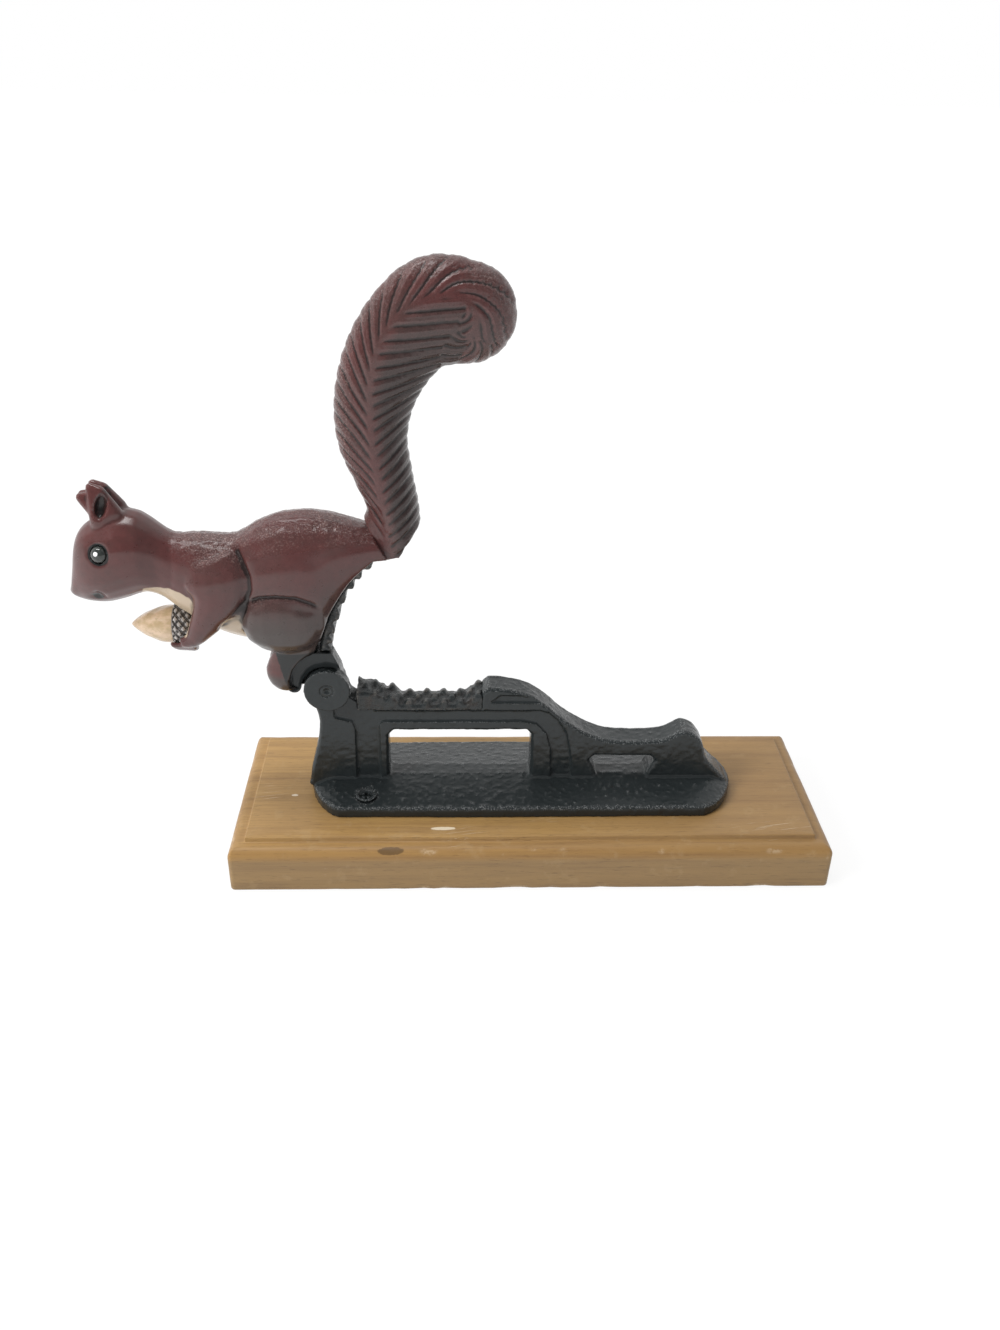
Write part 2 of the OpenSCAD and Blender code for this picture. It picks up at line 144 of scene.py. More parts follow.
def tidy_normals(piece):
    """Joins doubled points and turns all faces outwards."""
    work = bmesh.new()
    work.from_mesh(piece.data)
    bmesh.ops.remove_doubles(work, verts=work.verts, dist=1e-7)
    bmesh.ops.recalc_face_normals(work, faces=work.faces)
    work.to_mesh(piece.data)
    work.free()


class Skin:
    """A piece's mesh held as arrays while its surface is worked."""

    def __init__(self, piece):
        self.piece = piece
        self.points = points_of(piece.data)
        self.edges = read_rows(piece.data.edges, "vertices", 2, np.int32)
        self.count = np.maximum(np.bincount(self.edges.ravel(), minlength=len(self.points)), 1)

    def around(self, values):
        """The mean of each vertex's neighbours."""
        a, b = self.edges[:, 0], self.edges[:, 1]
        n = len(self.points)
        if values.ndim == 1:
            total = np.bincount(a, values[b], n) + np.bincount(b, values[a], n)
            return total / self.count
        return np.stack([self.around(values[:, k]) for k in range(values.shape[1])], 1)

    def relax(self, rounds, weight=1.0, keep=0.94):
        """Smooths the skin; each round pulls in and then swells back, so that it keeps its size."""
        w = np.broadcast_to(weight, len(self.points))[:, None] * 0.6
        for _ in range(rounds):
            self.points = self.points + w * (self.around(self.points) - self.points)
            self.points = self.points - keep * w * (self.around(self.points) - self.points)

    def normals(self):
        put_points(self.piece.data, self.points)
        return read_rows(self.piece.data.vertices, "normal", 3).astype(float)

    def rise(self, height):
        """Moves the skin outwards by a height at each vertex, in millimetres."""
        self.points = self.points + self.normals() * np.asarray(height)[:, None]

    def hollows(self, rounds=2):
        """How hollow the skin is at each vertex: above 0 in grooves, below 0 on edges."""
        no = self.normals()
        dip = ((self.around(self.points) - self.points) * no).sum(1)
        step = np.linalg.norm(self.points[self.edges[:, 0]] - self.points[self.edges[:, 1]], axis=1)
        bend = 2 * dip / np.mean(step) ** 2
        for _ in range(rounds):
            bend = self.around(bend)
        return np.clip(bend, -1, 1)

    def done(self, **layers):
        """Writes the points and the named layers to the mesh."""
        put_points(self.piece.data, self.points)
        mesh = self.piece.data
        for name, values in layers.items():
            layer = mesh.attributes.new(name, "FLOAT", "POINT")
            layer.data.foreach_set("value", np.asarray(values, np.float32))
        mesh.polygons.foreach_set("use_smooth", np.ones(len(mesh.polygons), bool))
        mesh.update()


def grain(points, size, seed=0):
    """Smooth noise from -1 to 1 with lumps of about that size, in millimetres."""
    p = points / size + seed * 17.3
    cell = np.floor(p).astype(np.int64)
    t = p - cell
    t = t * t * (3 - 2 * t)
    total = np.zeros(len(points))
    for corner in range(8):
        step = np.array([corner & 1, corner >> 1 & 1, corner >> 2 & 1])
        c = cell + step
        mixed = (c[:, 0] * 73856093) ^ (c[:, 1] * 19349663)
        mixed = mixed ^ (c[:, 2] * 83492791) ^ (seed * 2654435)
        mixed = (mixed ^ (mixed >> 13)) * 1274126177
        value = ((mixed ^ (mixed >> 16)) & 0xFFFF) / 32767.5 - 1
        share = np.where(step, t, 1 - t).prod(1)
        total += value * share
    return total


def near_line(x, z, line):
    """Distance to a line drawn in X and Z, the length along it, and the side of it."""
    best = np.full(len(x), 1e9)
    along = np.zeros(len(x))
    side = np.zeros(len(x))
    run = 0.0
    line = np.asarray(line, float)
    for a, b in zip(line[:-1], line[1:]):
        d = b - a
        length = np.linalg.norm(d)
        t = np.clip(((x - a[0]) * d[0] + (z - a[1]) * d[1]) / length**2, 0, 1)
        dx, dz = x - a[0] - t * d[0], z - a[1] - t * d[1]
        gap = np.hypot(dx, dz)
        closer = gap < best
        best = np.where(closer, gap, best)
        along = np.where(closer, run + t * length, along)
        side = np.where(closer, np.sign(d[0] * dz - d[1] * dx), side)
        run += length
    return best, along, side


def inside_distance(x, z, outline):
    """How far inside an outline in X and Z a point is; below 0 outside."""
    outline = np.asarray(outline, float)
    gap, _, _ = near_line(x, z, np.vstack([outline, outline[:1]]))
    inside = np.zeros(len(x), bool)
    for a, b in zip(outline, np.roll(outline, -1, 0)):
        crosses = (a[1] > z) != (b[1] > z)
        with np.errstate(divide="ignore", invalid="ignore"):
            inside ^= crosses & (x < (b[0] - a[0]) * (z - a[1]) / (b[1] - a[1]) + a[0])
    return np.where(inside, gap, -gap)


def fine_curve(rows, steps):
    """A smooth curve through rows of numbers, with that many steps between two rows."""
    rows = np.asarray(rows, float)
    last = len(rows) - 1
    out = []
    for i in range(last):
        a, b, c, d = rows[max(i - 1, 0)], rows[i], rows[i + 1], rows[min(i + 2, last)]
        for j in range(steps):
            t = j / steps
            square = 2 * a - 5 * b + 4 * c - d
            cube = 3 * b - a - 3 * c + d
            out.append(0.5 * (2 * b + (c - a) * t + square * t * t + cube * t**3))
    return np.array(out + [rows[last]])


def bell(distance, width):
    """1 at distance 0, falling to about a third at width."""
    return np.exp(-((distance / width) ** 2))


def ramp(low, high, value):
    """0 below low, 1 above high, and a smooth rise between."""
    t = np.clip((value - low) / (high - low), 0, 1)
    return t * t * (3 - 2 * t)


# ---- shaders


class Value:
    """A number that changes over a surface; sums and products of it add Math nodes."""

    def __init__(self, nodes, socket):
        self.nodes = nodes
        self.socket = socket

    def math(self, operation, *others, reverse=False):
        terms = [self, *others]
        if reverse:
            terms.reverse()
        return self.nodes.add("ShaderNodeMath", {"operation": operation}, dict(enumerate(terms)))

    def __add__(self, other):
        return self.math("ADD", other)

    __radd__ = __add__

    def __mul__(self, other):
        return self.math("MULTIPLY", other)

    __rmul__ = __mul__

    def __sub__(self, other):
        return self.math("SUBTRACT", other)

    def __rsub__(self, other):
        return self.math("SUBTRACT", other, reverse=True)

    def __truediv__(self, other):
        return self.math("DIVIDE", other)

    def __pow__(self, other):
        return self.math("POWER", other)

    def held(self):
        """The value held between 0 and 1."""
        return self.math("MAXIMUM", 0.0).math("MINIMUM", 1.0)

    def above(self, low, high):
        """0 below low and 1 above high."""
        sockets = {"Value": self, "From Min": low, "From Max": high}
        return self.nodes.add("ShaderNodeMapRange", {"interpolation_type": "SMOOTHSTEP"}, sockets)


class Nodes:
    """A node tree in the making."""

    def __init__(self, tree):
        self.tree = tree

    def add(self, kind, settings=None, sockets=None, out=0):
        """Adds a node of that type: its settings first, then the values and links of its sockets."""
        node = self.tree.nodes.new(kind)
        for name, value in (settings or {}).items():
            setattr(node, name, value)
        for name, value in (sockets or {}).items():
            self.feed(node.inputs[name], value)
        return Value(self, node.outputs[out]) if node.outputs else None

    def feed(self, socket, value):
        if isinstance(value, Value):
            self.tree.links.new(value.socket, socket)
        elif socket.type == "RGBA":
            socket.default_value = (*tuple(value)[:3], 1)
        else:
            socket.default_value = value

    def part(self, vector, axis):
        """The X, Y or Z of a vector, as axis 0, 1 or 2."""
        return self.add("ShaderNodeSeparateXYZ", {}, {0: vector}, axis)

    def mix(self, share, a, b):
        """Colour a, with that share of colour b."""
        return self.add("ShaderNodeMix", {"data_type": "RGBA"}, {0: share, 6: a, 7: b}, 2)


class Paint(Nodes):
    """A material in the making."""

    def __init__(self, name):
        self.material = bpy.data.materials.new(name)
        self.material.use_nodes = True
        super().__init__(self.material.node_tree)
        self.shader = self.tree.nodes["Principled BSDF"]
        self.place = self.scaled(self.add("ShaderNodeTexCoord", out="Object"), 1 / MM)

    def vector(self, operation, a, b):
        return self.add("ShaderNodeVectorMath", {"operation": operation}, {0: a, 1: b})

    def scaled(self, vector, scale):
        size = (scale,) * 3 if isinstance(scale, (int, float)) else scale
        return self.vector("MULTIPLY", vector, size)

    def moved(self, vector, shift, amount):
        """A place pushed about by a colour of noise."""
        push = self.vector("SUBTRACT", shift, (0.5, 0.5, 0.5))
        return self.vector("ADD", vector, self.scaled(push, amount))

    def noise(self, size, detail=3.0, rough=0.55, place=None, out=0):
        """Noise from 0 to 1 with lumps of about that size, in millimetres."""
        sockets = {"Vector": place or self.place, "Scale": 1 / size, "Detail": detail, "Roughness": rough}
        return self.add("ShaderNodeTexNoise", {}, sockets, out)

    def layer(self, name):
        """A number stored on the mesh's points."""
        return self.add("ShaderNodeAttribute", {"attribute_name": name}, {}, "Fac")

    def bump(self, height, depth):
        """Relief of that depth in millimetres for heights from 0 to 1."""
        return self.add("ShaderNodeBump", {}, {"Strength": 1.0, "Distance": depth * MM, "Height": height})

    def coats(self, colour, *coats):
        """A colour with more colours laid over it in turn, each given with its share."""
        for share, coat in coats:
            colour = self.mix(share, colour, coat)
        return colour

    def finish(self, colour, roughness, normal, metallic=0.0, coat=0.0, coat_rough=0.1, ior=1.5):
        s = self.shader.inputs
        self.feed(s["Base Color"], colour)
        self.feed(s["Roughness"], roughness)
        self.feed(s["Metallic"], metallic)
        self.feed(s["Coat Weight"], coat)
        self.feed(s["Coat Roughness"], coat_rough)
        self.feed(s["IOR"], ior)
        self.feed(s["Normal"], normal)
        return self.material


def wear(piece, material):
    """Gives the piece this one material."""
    piece.data.materials.clear()
    piece.data.materials.append(material)


def join_body(piece, body, slot, *nodes):
    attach(piece, body)
    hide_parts(*nodes)


def dress(piece, material, body, node):
    """Gives the piece its material, and puts it in place of the CAD node."""
    wear(piece, material)
    join_body(piece, body, node, node)


def colour_prop(name, description, default):
    return bpy.props.FloatVectorProperty(
        name=name, description=description, default=default, subtype="COLOR", size=3, min=0, max=1
    )


def length_prop(name, description, default):
    """A length in millimetres."""
    return bpy.props.FloatProperty(name=name, description=description, default=default, min=0, precision=3)


# ---- plinth


class PlinthLooks(bpy.types.PropertyGroup):
    """The wooden plinth."""

    wood: colour_prop("Wood", "Varnished wood", (0.43, 0.258, 0.092))
    dark_wood: colour_prop("Dark grain", "Late growth between the pale rings", (0.27, 0.155, 0.062))
    bare_wood: colour_prop("Bare wood", "Wood where the varnish is worn away", (0.66, 0.52, 0.36))
    edge_height: length_prop("Edge", "Height of the upright edge, mm", 13.3)
    step_height: length_prop("Step", "Height of the step to the top panel, mm", 1.8)
    panel_inset: length_prop("Panel inset", "From the edge to the top panel, mm", 5.8)
    dents: length_prop("Dents", "Depth of the dents along the edges, mm", 0.22)


PLINTH_CORNER = 2.0
SHARPEST_CORNER = 0.35


def plinth_outline(half_x, half_y, inset):
    """A rectangle with rounded corners, with points 3 to 4 mm apart."""
    hx, hy, r = half_x - inset, half_y - inset, max(PLINTH_CORNER - inset, SHARPEST_CORNER)
    line = []
    for cx, cy, start in ((1, 1, 0), (-1, 1, 90), (-1, -1, 180), (1, -1, 270)):
        centre = np.array([cx * (hx - r), cy * (hy - r)])
        for k in range(9):
            a = math.radians(start + 90 * k / 8)
            line.append(centre + r * np.array([math.cos(a), math.sin(a)]))
        if start in (0, 180):
            n, across = 60, np.array([-cx * 2 * (hx - r), 0])
        else:
            n, across = 22, np.array([0, -cy * 2 * (hy - r)])
        line += [line[-1] + across * k / n for k in range(1, n)]
    return np.array(line)


def build_plinth(looks):
    half_x, half_y, top = np.array(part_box("plinth")[1]) / MM
    edge, step = looks.edge_height, looks.step_height
    r = top - step - edge
    profile = [(0.5, 0.0), (0.15, 0.12), (0.0, 0.5)]
    profile += [(0.0, edge * k / 6) for k in range(1, 7)]
    turns = np.radians(np.linspace(10, 90, 9))
    profile += [(r * (1 - math.cos(a)), edge + r * math.sin(a)) for a in turns]
    inner = looks.panel_inset
    profile += [(inner - 0.9, top - step), (inner - 0.25, top - step + 0.06), (inner, top - step + 0.35)]
    profile += [(inner + 0.06, top - 0.4), (inner + 0.25, top - 0.1), (inner + 0.6, top)]
    plans = [(plinth_outline(half_x, half_y, inset), z) for inset, z in profile]
    panel = plans[-1][0]
    plans += [(panel * [1 - (1 - share) * 0.999, share], top) for share in np.linspace(0.9, 0.1, 9)]
    rings = [np.column_stack([plan, np.full(len(plan), z)]) for plan, z in plans]
    piece = new_piece("plinth_board", *loft(rings))
    tidy_normals(piece)
    skin = Skin(piece)
    p = skin.points
    worn_reach = 4
    corner_x = ramp(worn_reach, 0, half_x - abs(p[:, 0]))
    corner_y = ramp(worn_reach, 0, half_y - abs(p[:, 1]))
    edge_z = bell(p[:, 2] - (top - step), 2.5) + bell(p[:, 2], 1.0)
    worn = np.clip(corner_x * corner_y + (corner_x + corner_y) * edge_z, 0, 1)
    lumps = np.clip(grain(p, 5.0, 3) + 0.35 * grain(p, 1.7, 4) - 0.15, 0, 1)
    skin.rise(-looks.dents * worn * lumps * 2 - 0.03 * (1 + grain(p, 14, 5)))
    skin.points[:, 2] = np.clip(skin.points[:, 2], 0, top)
    skin.done(worn=worn * ramp(0.1, 0.5, lumps))
    return piece


def spot(paint, at, size, ragged):
    """1 on a patch round a place, 0 outside it; size holds its half lengths, and noise frays its rim."""
    total = paint.noise(ragged, 3, 0.6) * 0.9
    for axis, (middle, half) in enumerate(zip(at, size)):
        total = total + ((paint.part(paint.place, axis) - middle) / half) ** 2.0
    return 1 - total.above(1.1, 1.45)


def plinth_finish(looks):
    """Varnished wood, with a knot, a chip, a fleck and scratches where the real ones are, and painted shade on
    the upright edge and towards the right of the top.
    """
    paint = Paint("varnished_wood")
    long_place = paint.scaled(paint.place, (0.045, 1.0, 1.0))
    wander = paint.noise(9, 2, 0.5, long_place, "Color")
    bent = paint.moved(long_place, wander, 5.0)
    rings = paint.noise(2.6, 4, 0.62, bent)
    broad = paint.noise(11, 2, 0.5, long_place)
    pores = paint.noise(0.42, 2, 0.6, paint.scaled(paint.place, (0.09, 1.0, 1.0)))
    fine = paint.noise(0.9, 3, 0.7, paint.scaled(paint.place, (0.03, 1.0, 1.0)))
    tone = (rings * 0.4 + broad * 0.3 + fine * 0.3).above(0.30, 0.62)
    height = paint.part(paint.place, 2)
    # painted shade: the top and its upper edge darker towards the right
    right = paint.part(paint.place, 0).above(-20.0, 110.0) * height.above(14.0, 17.0)
    # painted shade: the upright edge below the roundover darker and greyer than the top
    shaded_upright_edge = 1 - height.above(12.0, 14.0)
    rounded = height.above(13.2, 14.2) * (1 - height.above(16.6, 17.4))
    scuffs = paint.noise(7, 4, 0.65).above(0.56, 0.70)
    bare = paint.layer("worn").above(0.25, 0.8) * paint.noise(1.6, 3, 0.6).above(0.35, 0.6)
    knot = spot(paint, (-50.5, -37.2, 16.6), (5.5, 2.2, 1.6), 1.6)
    chip = spot(paint, (-32.0, -27.3, 19), (4.9, 1.0, 1), 1.1)
    fleck = spot(paint, (-87.4, -6.8, 19), (1.3, 0.7, 1), 0.7)
    slant = {"Vector": paint.place, "Angle": -0.19}
    turned = paint.add("ShaderNodeVectorRotate", {"rotation_type": "Z_AXIS"}, slant)
    scratches = paint.noise(0.35, 1, 0.5, paint.scaled(turned, (0.02, 1.0, 1.0))).above(0.66, 0.71)
    rubbed = spot(paint, (88.0, -26.0, 19), (17, 5, 3), 5.0)
    scratches = (scratches * (rubbed + paint.noise(18, 2).above(0.60, 0.70) * 0.6)).held()
    colour = paint.coats(
        looks.dark_wood,
        (tone, looks.wood),
        (pores.above(0.58, 0.72) * 0.5, tuple(c * 0.5 for c in looks.dark_wood)),
        # painted shade towards the right of the top
        (right * 0.45, (0.26, 0.155, 0.072)),
        # painted shade on the upright edge
        (shaded_upright_edge * 0.4, (0.225, 0.165, 0.100)),
        (rounded * 0.35, (0.33, 0.18, 0.065)),
        (scuffs * 0.22, (0.50, 0.36, 0.20)),
        (knot * 0.7, (0.085, 0.050, 0.025)),
        (bare * 0.6, looks.bare_wood),
        (chip, (0.78, 0.66, 0.48)),
        (fleck * 0.8, (0.80, 0.70, 0.55)),
        (scratches * 0.7, (0.72, 0.58, 0.42)),
    )
    relief = rings * 0.5 + pores * 0.3 + fine * 0.2 - scratches * 0.4
    rough = 0.40 + scuffs * 0.16 + (1 - tone) * 0.08
    return paint.finish(colour, rough, paint.bump(relief, 0.10), ior=1.42)


class NUTCRACKER_OT_plinth(bpy.types.Operator):
    """Builds the varnished plinth with its rounded edge, step and top panel"""

    bl_idname = "nutcracker.plinth"
    bl_label = "Plinth"

    def execute(self, context):
        looks = context.scene.nutcracker_plinth
        dress(build_plinth(looks), plinth_finish(looks), "base", "plinth")
        return {"FINISHED"}


# ---- black casting


class CastingLooks(bpy.types.PropertyGroup):
    """The black base casting and the hinge."""

    black: colour_prop("Black paint", "Gloss black paint", (0.0225, 0.0275, 0.0285))
    dusty: colour_prop("Rubbed paint", "Paint rubbed grey on edges", (0.060, 0.064, 0.064))
    iron: colour_prop("Bare iron", "Worn cast iron of the jaws", (0.030, 0.026, 0.023))
    sand: length_prop("Sand grain", "Height of the cast sand grain, mm", 0.09)
    waves: length_prop("Waves", "Unevenness of the cast faces, mm", 0.12)


def black_finish(looks, name="black_casting_paint"):
    """Gloss black paint over sandy iron, with painted highlights as fine pale dots along the upper rims."""
    paint = Paint(name)
    hollow = paint.layer("hollow")
    sand = paint.noise(0.7, 4, 0.65)
    fine = paint.noise(0.28, 2, 0.6)
    patchy = paint.noise(6, 3, 0.6)
    edge = (0 - hollow).above(0.15, 0.7) * patchy.above(0.40, 0.62)
    coarse = paint.layer("sand")
    rusty = paint.noise(3.2, 4, 0.7).above(0.62, 0.74)
    rough = 0.17 + patchy * 0.10 + hollow.above(0.05, 0.4) * 0.12
    # painted highlight: fine pale dots on the upward-facing rims
    painted_glints = paint.layer("rim") * paint.noise(0.55, 3, 0.6).above(0.50, 0.62)
    colour = paint.coats(
        looks.black,
        (edge * 0.45, looks.dusty),
        (rusty * 0.4, (0.022, 0.014, 0.010)),
        # painted highlight on the upper rims
        (painted_glints * 0.5, (0.26, 0.27, 0.27)),
    )
    height = (sand * 0.6 + fine * 0.4) * (0.16 + coarse)
    return paint.finish(colour, rough, paint.bump(height, 0.30), ior=1.44)


def cast_texture(skin, looks, weight=1.0):
    """Raises the waves and the sand grain of a cast face."""
    p = skin.points
    sand = looks.sand * (grain(p, 1.7, 2) + 0.5 * grain(p, 0.8, 6))
    skin.rise(weight * (looks.waves * grain(p, 7.5, 1) + sand))


def finish_casting(skin):
    """Writes the layers of a cast skin: its hollows, its upper rims, and how sandy it is."""
    hollow = skin.hollows()
    up = ramp(0.15, 0.7, skin.normals()[:, 2])
    # rim: the upward-facing convex rims, where the painted highlight dots go
    rim = up * ramp(0.04, 0.16, -hollow)
    skin.done(hollow=hollow, rim=rim, sand=up * (0.25 + 0.75 * ramp(0.0, 0.15, -hollow)))


def build_base_casting(looks):
    """The base casting, with the flange's lip rounded more than the rest."""
    skin = recast(cad_copy("base_casting", "black_base_casting"), 0.42)
    above_plinth = skin.points[:, 2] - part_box("plinth")[1][2] / MM
    from_middle = abs(skin.points[:, 1] - 1.3)
    lip = ramp(1.0, 2.0, above_plinth) * ramp(6.2, 5.0, above_plinth) * ramp(17, 19, from_middle)
    skin.relax(28, lip)
    skin.relax(4)
    cast_texture(skin, looks)
    finish_casting(skin)
    return skin.piece


# The beads that round the knuckle's cheeks: distance from the hinge axis, distance from the middle, radius
BEAD_RING, BEAD_Y, BEAD_RADIUS = 11.7, 4.7, 2.7
# The room kept round the ears of the base casting, from the hinge axis
EAR_ROOM = 9.1


def build_knuckle(looks):
    """The black hinge end, its cheeks rounded by beads laid along them round the hinge."""
    piece = cad_copy("lever_knuckle", "black_knuckle")
    work = bmesh.new()
    work.from_mesh(piece.data)
    for side in (-1, 1):
        for angle in np.radians(np.arange(100, 184, 6)):
            out = [BEAD_RING * math.cos(angle), BEAD_Y * side, BEAD_RING * math.sin(angle)]
            at = Matrix.Translation((HINGE + out) * MM)
            bmesh.ops.create_icosphere(work, subdivisions=3, radius=BEAD_RADIUS * MM, matrix=at)
    work.to_mesh(piece.data)
    work.free()
    skin = recast(piece, 0.4)
    x, y, z = (skin.points - HINGE).T
    far = np.hypot(x, z)
    outer = ramp(8.6, 9.6, far) * ramp(3.2, 4.2, abs(y))
    skin.points[:, 1] -= np.sign(y) * ramp(6.0, 8.0, abs(y)) * 2.6 * outer
    skin.relax(50, 0.1 + 0.9 * outer)
    x, y, z = (skin.points - HINGE).T
    far = np.hypot(x, z)
    near = (far < EAR_ROOM) & (abs(y) > 4.6) & (far > 5)
    push = np.where(near, EAR_ROOM / np.maximum(far, 1), 1)
    skin.points[:, 0] = HINGE[0] + x * push
    skin.points[:, 2] = HINGE[2] + z * push
    cast_texture(skin, looks, 0.5)
    finish_casting(skin)
    return piece


class NUTCRACKER_OT_base_casting(bpy.types.Operator):
    """Builds the black base casting and the squirrel's black knuckle"""

    bl_idname = "nutcracker.base_casting"
    bl_label = "Base casting and knuckle"

    def execute(self, context):
        looks = context.scene.nutcracker_casting
        finish = black_finish(looks)
        dress(build_base_casting(looks), finish, "base", "base_casting")
        dress(build_knuckle(looks), finish, "lever", "lever_knuckle")
        return {"FINISHED"}


def iron_finish(looks):
    """Worn cast iron, with painted shade in the hollows and grey on the worn points of the teeth."""
    paint = Paint("worn_cast_iron")
    hollow = paint.layer("hollow")
    grit = paint.noise(0.7, 4, 0.7)
    patches = paint.noise(3.0, 3, 0.6)
    tip = (0 - hollow).above(0.30, 0.75) * patches.above(0.38, 0.6)
    colour = paint.coats(
        looks.black,
        (patches.above(0.45, 0.7), looks.iron),
        (tip * 0.6, (0.20, 0.19, 0.175)),
        # painted shade: the hollows between the teeth darkened
        (hollow.above(0.05, 0.45) * 0.8, (0.006, 0.006, 0.006)),
    )
    rough = 0.18 + grit * 0.2
    return paint.finish(colour, rough, paint.bump(grit, 0.25), metallic=tip * 0.5, ior=1.52)


class NUTCRACKER_OT_jaws(bpy.types.Operator):
    """Builds the worn, toothed jaws: the bed of the base and the back of the thigh"""

    bl_idname = "nutcracker.jaws"
    bl_label = "Jaws"

    def execute(self, context):
        looks = context.scene.nutcracker_casting
        finish = iron_finish(looks)
        for node, name, body in (
            ("lower_jaw", "worn_lower_jaw", "base"),
            ("lever_jaw", "worn_upper_jaw", "lever"),
        ):
            skin = recast(cad_copy(node, name), 0.3)
            skin.relax(6)
            skin.rise(0.16 * grain(skin.points, 2.0, 8) + 0.10 * grain(skin.points, 0.9, 9))
            skin.relax(1)
            skin.done(hollow=skin.hollows())
            dress(skin.piece, finish, body, node)
        return {"FINISHED"}


def shape_rivet(skin):
    """Sinks a dimple and a fine ring into the rivet's front face."""
    x, y, z = (skin.points - HINGE).T
    r = np.hypot(x, z)
    face = y < -8.3
    skin.points[:, 1] += np.where(face, 0.9 * bell(r, 1.1) + 0.35 * bell(r - 2.2, 0.35), 0)


def shape_screws(skin):
    """Raises a rim round each screw's head and sinks a groove inside it."""
    x, y, z = skin.points.T
    for head in (y < 0, y >= 0):
        low, high = skin.points[head].min(0), skin.points[head].max(0)
        middle = (low + high) / 2
        r = np.hypot(x - middle[0], y - middle[1])
        top = head * ramp(high[2] - 1.6, high[2] - 1.0, z)
        rim = (high[0] - low[0]) / 2 - 0.7
        skin.points[:, 2] += top * (0.45 * bell(r - rim, 0.45) - 0.35 * bell(r - rim + 1.1, 0.5))


class NUTCRACKER_OT_fixings(bpy.types.Operator):
    """Builds the rivet pin and the two fixing screws, painted over with the casting"""

    bl_idname = "nutcracker.fixings"
    bl_label = "Pin and screws"

    def execute(self, context):
        finish = black_finish(context.scene.nutcracker_casting, "painted_over_steel")
        for node, name, shape in (
            ("hinge_pin", "rivet_pin", shape_rivet),
            ("mounting_screws", "painted_screws", shape_screws),
        ):
            skin = recast(cad_copy(node, name), 0.22)
            shape(skin)
            skin.relax(3)
            finish_casting(skin)
            dress(skin.piece, finish, "base", node)
        return {"FINISHED"}


# ---- squirrel


class SquirrelLooks(bpy.types.PropertyGroup):
    """The painted squirrel."""

    maroon: colour_prop("Maroon paint", "Paint of the coat", (0.090, 0.028, 0.026))
    # painted reflection: this grey stands for the pale floor mirrored on the legs low down; mixed with noise it
    # also gives random grey patches
    worn: colour_prop("Worn paint", "Greyer paint low on the legs", (0.058, 0.049, 0.044))
    cream: colour_prop("Cream paint", "Paint of the chest and belly", (0.54, 0.43, 0.31))
    nut: colour_prop("Acorn", "Pale gold paint of the nut", (0.51, 0.37, 0.21))
    cup: colour_prop("Cup", "Grey-brown paint of the acorn's cup", (0.20, 0.18, 0.165))
    fur_pitch: length_prop("Fur pitch", "Distance between the locks along the tail, mm", 4.7)
    fur_depth: length_prop("Fur depth", "Depth of the grooves between the locks, mm", 0.95)
    crease: length_prop("Creases", "Depth of the creases round the legs, mm", 0.8)


# Places and lines on the squirrel from the hinge axis, in millimetres: X and Z, or X, Y and Z
EYE = np.array([-70.9, 8.9, 52.8])
# the painted highlight on the eye, a white dot
EYE_HIGHLIGHT = np.array([-71.5, 11.5, 54.0])
EAR_HOLLOW = (-69.3, 68.4)
MOUTH_CORNER = (-74.4, 36.6)
SHOULDER = (-42, 54)
PAWS = (-47, 19)
FORELEG_BACK = [
    (-30.5, 61), (-28.6, 57.6), (-25, 51.2), (-22.9, 46), (-22.8, 41.5), (-24.6, 36.6), (-27.8, 32.4),
    (-31.6, 28.4), (-35.2, 25.2),
]
THIGH_TOP = [(-24.5, 36.2), (-20, 38.6), (-14, 39.6), (-7.5, 39), (-3, 36.8), (0.5, 34.2)]
THIGH_FRONT = [(-23.8, 37), (-25.6, 33), (-27.4, 28.5), (-27, 23.5), (-25, 19.8)]
THIGH = [
    (-24.5, 36), (-20, 38.4), (-14, 39.4), (-7, 38.6), (-1, 33), (0, 24), (-4, 17.5), (-13, 16.6), (-21, 18.2),
    (-26, 21.6), (-27.6, 28),
]
MOUTH = [(-76.2, 37.9), (-74, 38.8), (-72.3, 37.4), (-71.5, 35.2)]
NECK_CREASE = [(-50.5, 59), (-48.6, 52), (-48.8, 44), (-50.6, 38)]
CREAM_CHEST = [
    (-59, 39.6), (-55, 40), (-50.5, 39.8), (-46.5, 38.8), (-43.6, 37), (-41.6, 33.5), (-41.6, 22),
    (-50, 22), (-62, 34),
]
CREAM_BELLY = [(-38.5, 24), (-33, 29), (-27.6, 34), (-26.2, 28), (-25.6, 21), (-24, 12), (-40, 12)]
# The line where the tail meets the body, and the outline of the room that the tail is trimmed to
TAIL_CUT = [(15.6, 63.5), (22.9, 50.1)]
TAIL_ROOM = [(22.2, 49.9), (26.6, 50.9), (33, 60.5), (40, 75), (80, 80), (90, 170), (-20, 170), (14.9, 63.3)]
# Along the tail: X, Z, half its width, and its share of the full thickness
TAIL_LINE = [
    (21, 40, 12.5, 0.95), (22.4, 50, 11.5, 1.0), (23.9, 58, 10.4, 0.98), (24.7, 67, 8.7, 0.95),
    (21.9, 78, 9.7, 0.95), (18.9, 90, 11.4, 1), (19.6, 102, 12.6, 1), (23.9, 114, 13.9, 1),
    (31, 124, 15.2, 1), (39.8, 129.9, 16.8, 1), (48.8, 129.8, 15.6, 1),
]
TAIL_HALF_THICKNESS = 10.0
TAIL_TIP_HEADING = math.radians(-12)
# The line between the two sides of the fur; its first rows rise, the others turn with the curl
FUR_SPINE = [
    (24.5, 44), (22.8, 52.3), (21.9, 66), (20.7, 79.1), (19.4, 90), (19.0, 100.5), (19.4, 110.1),
    (22.1, 121.0), (26.5, 128.6), (32.6, 133.6), (39.4, 136.2), (45.8, 136.6), (50.2, 134.0), (51.8, 129.5),
    (50.0, 124.5),
]
SPINE_STEPS = 5
RISING_ROWS = 8


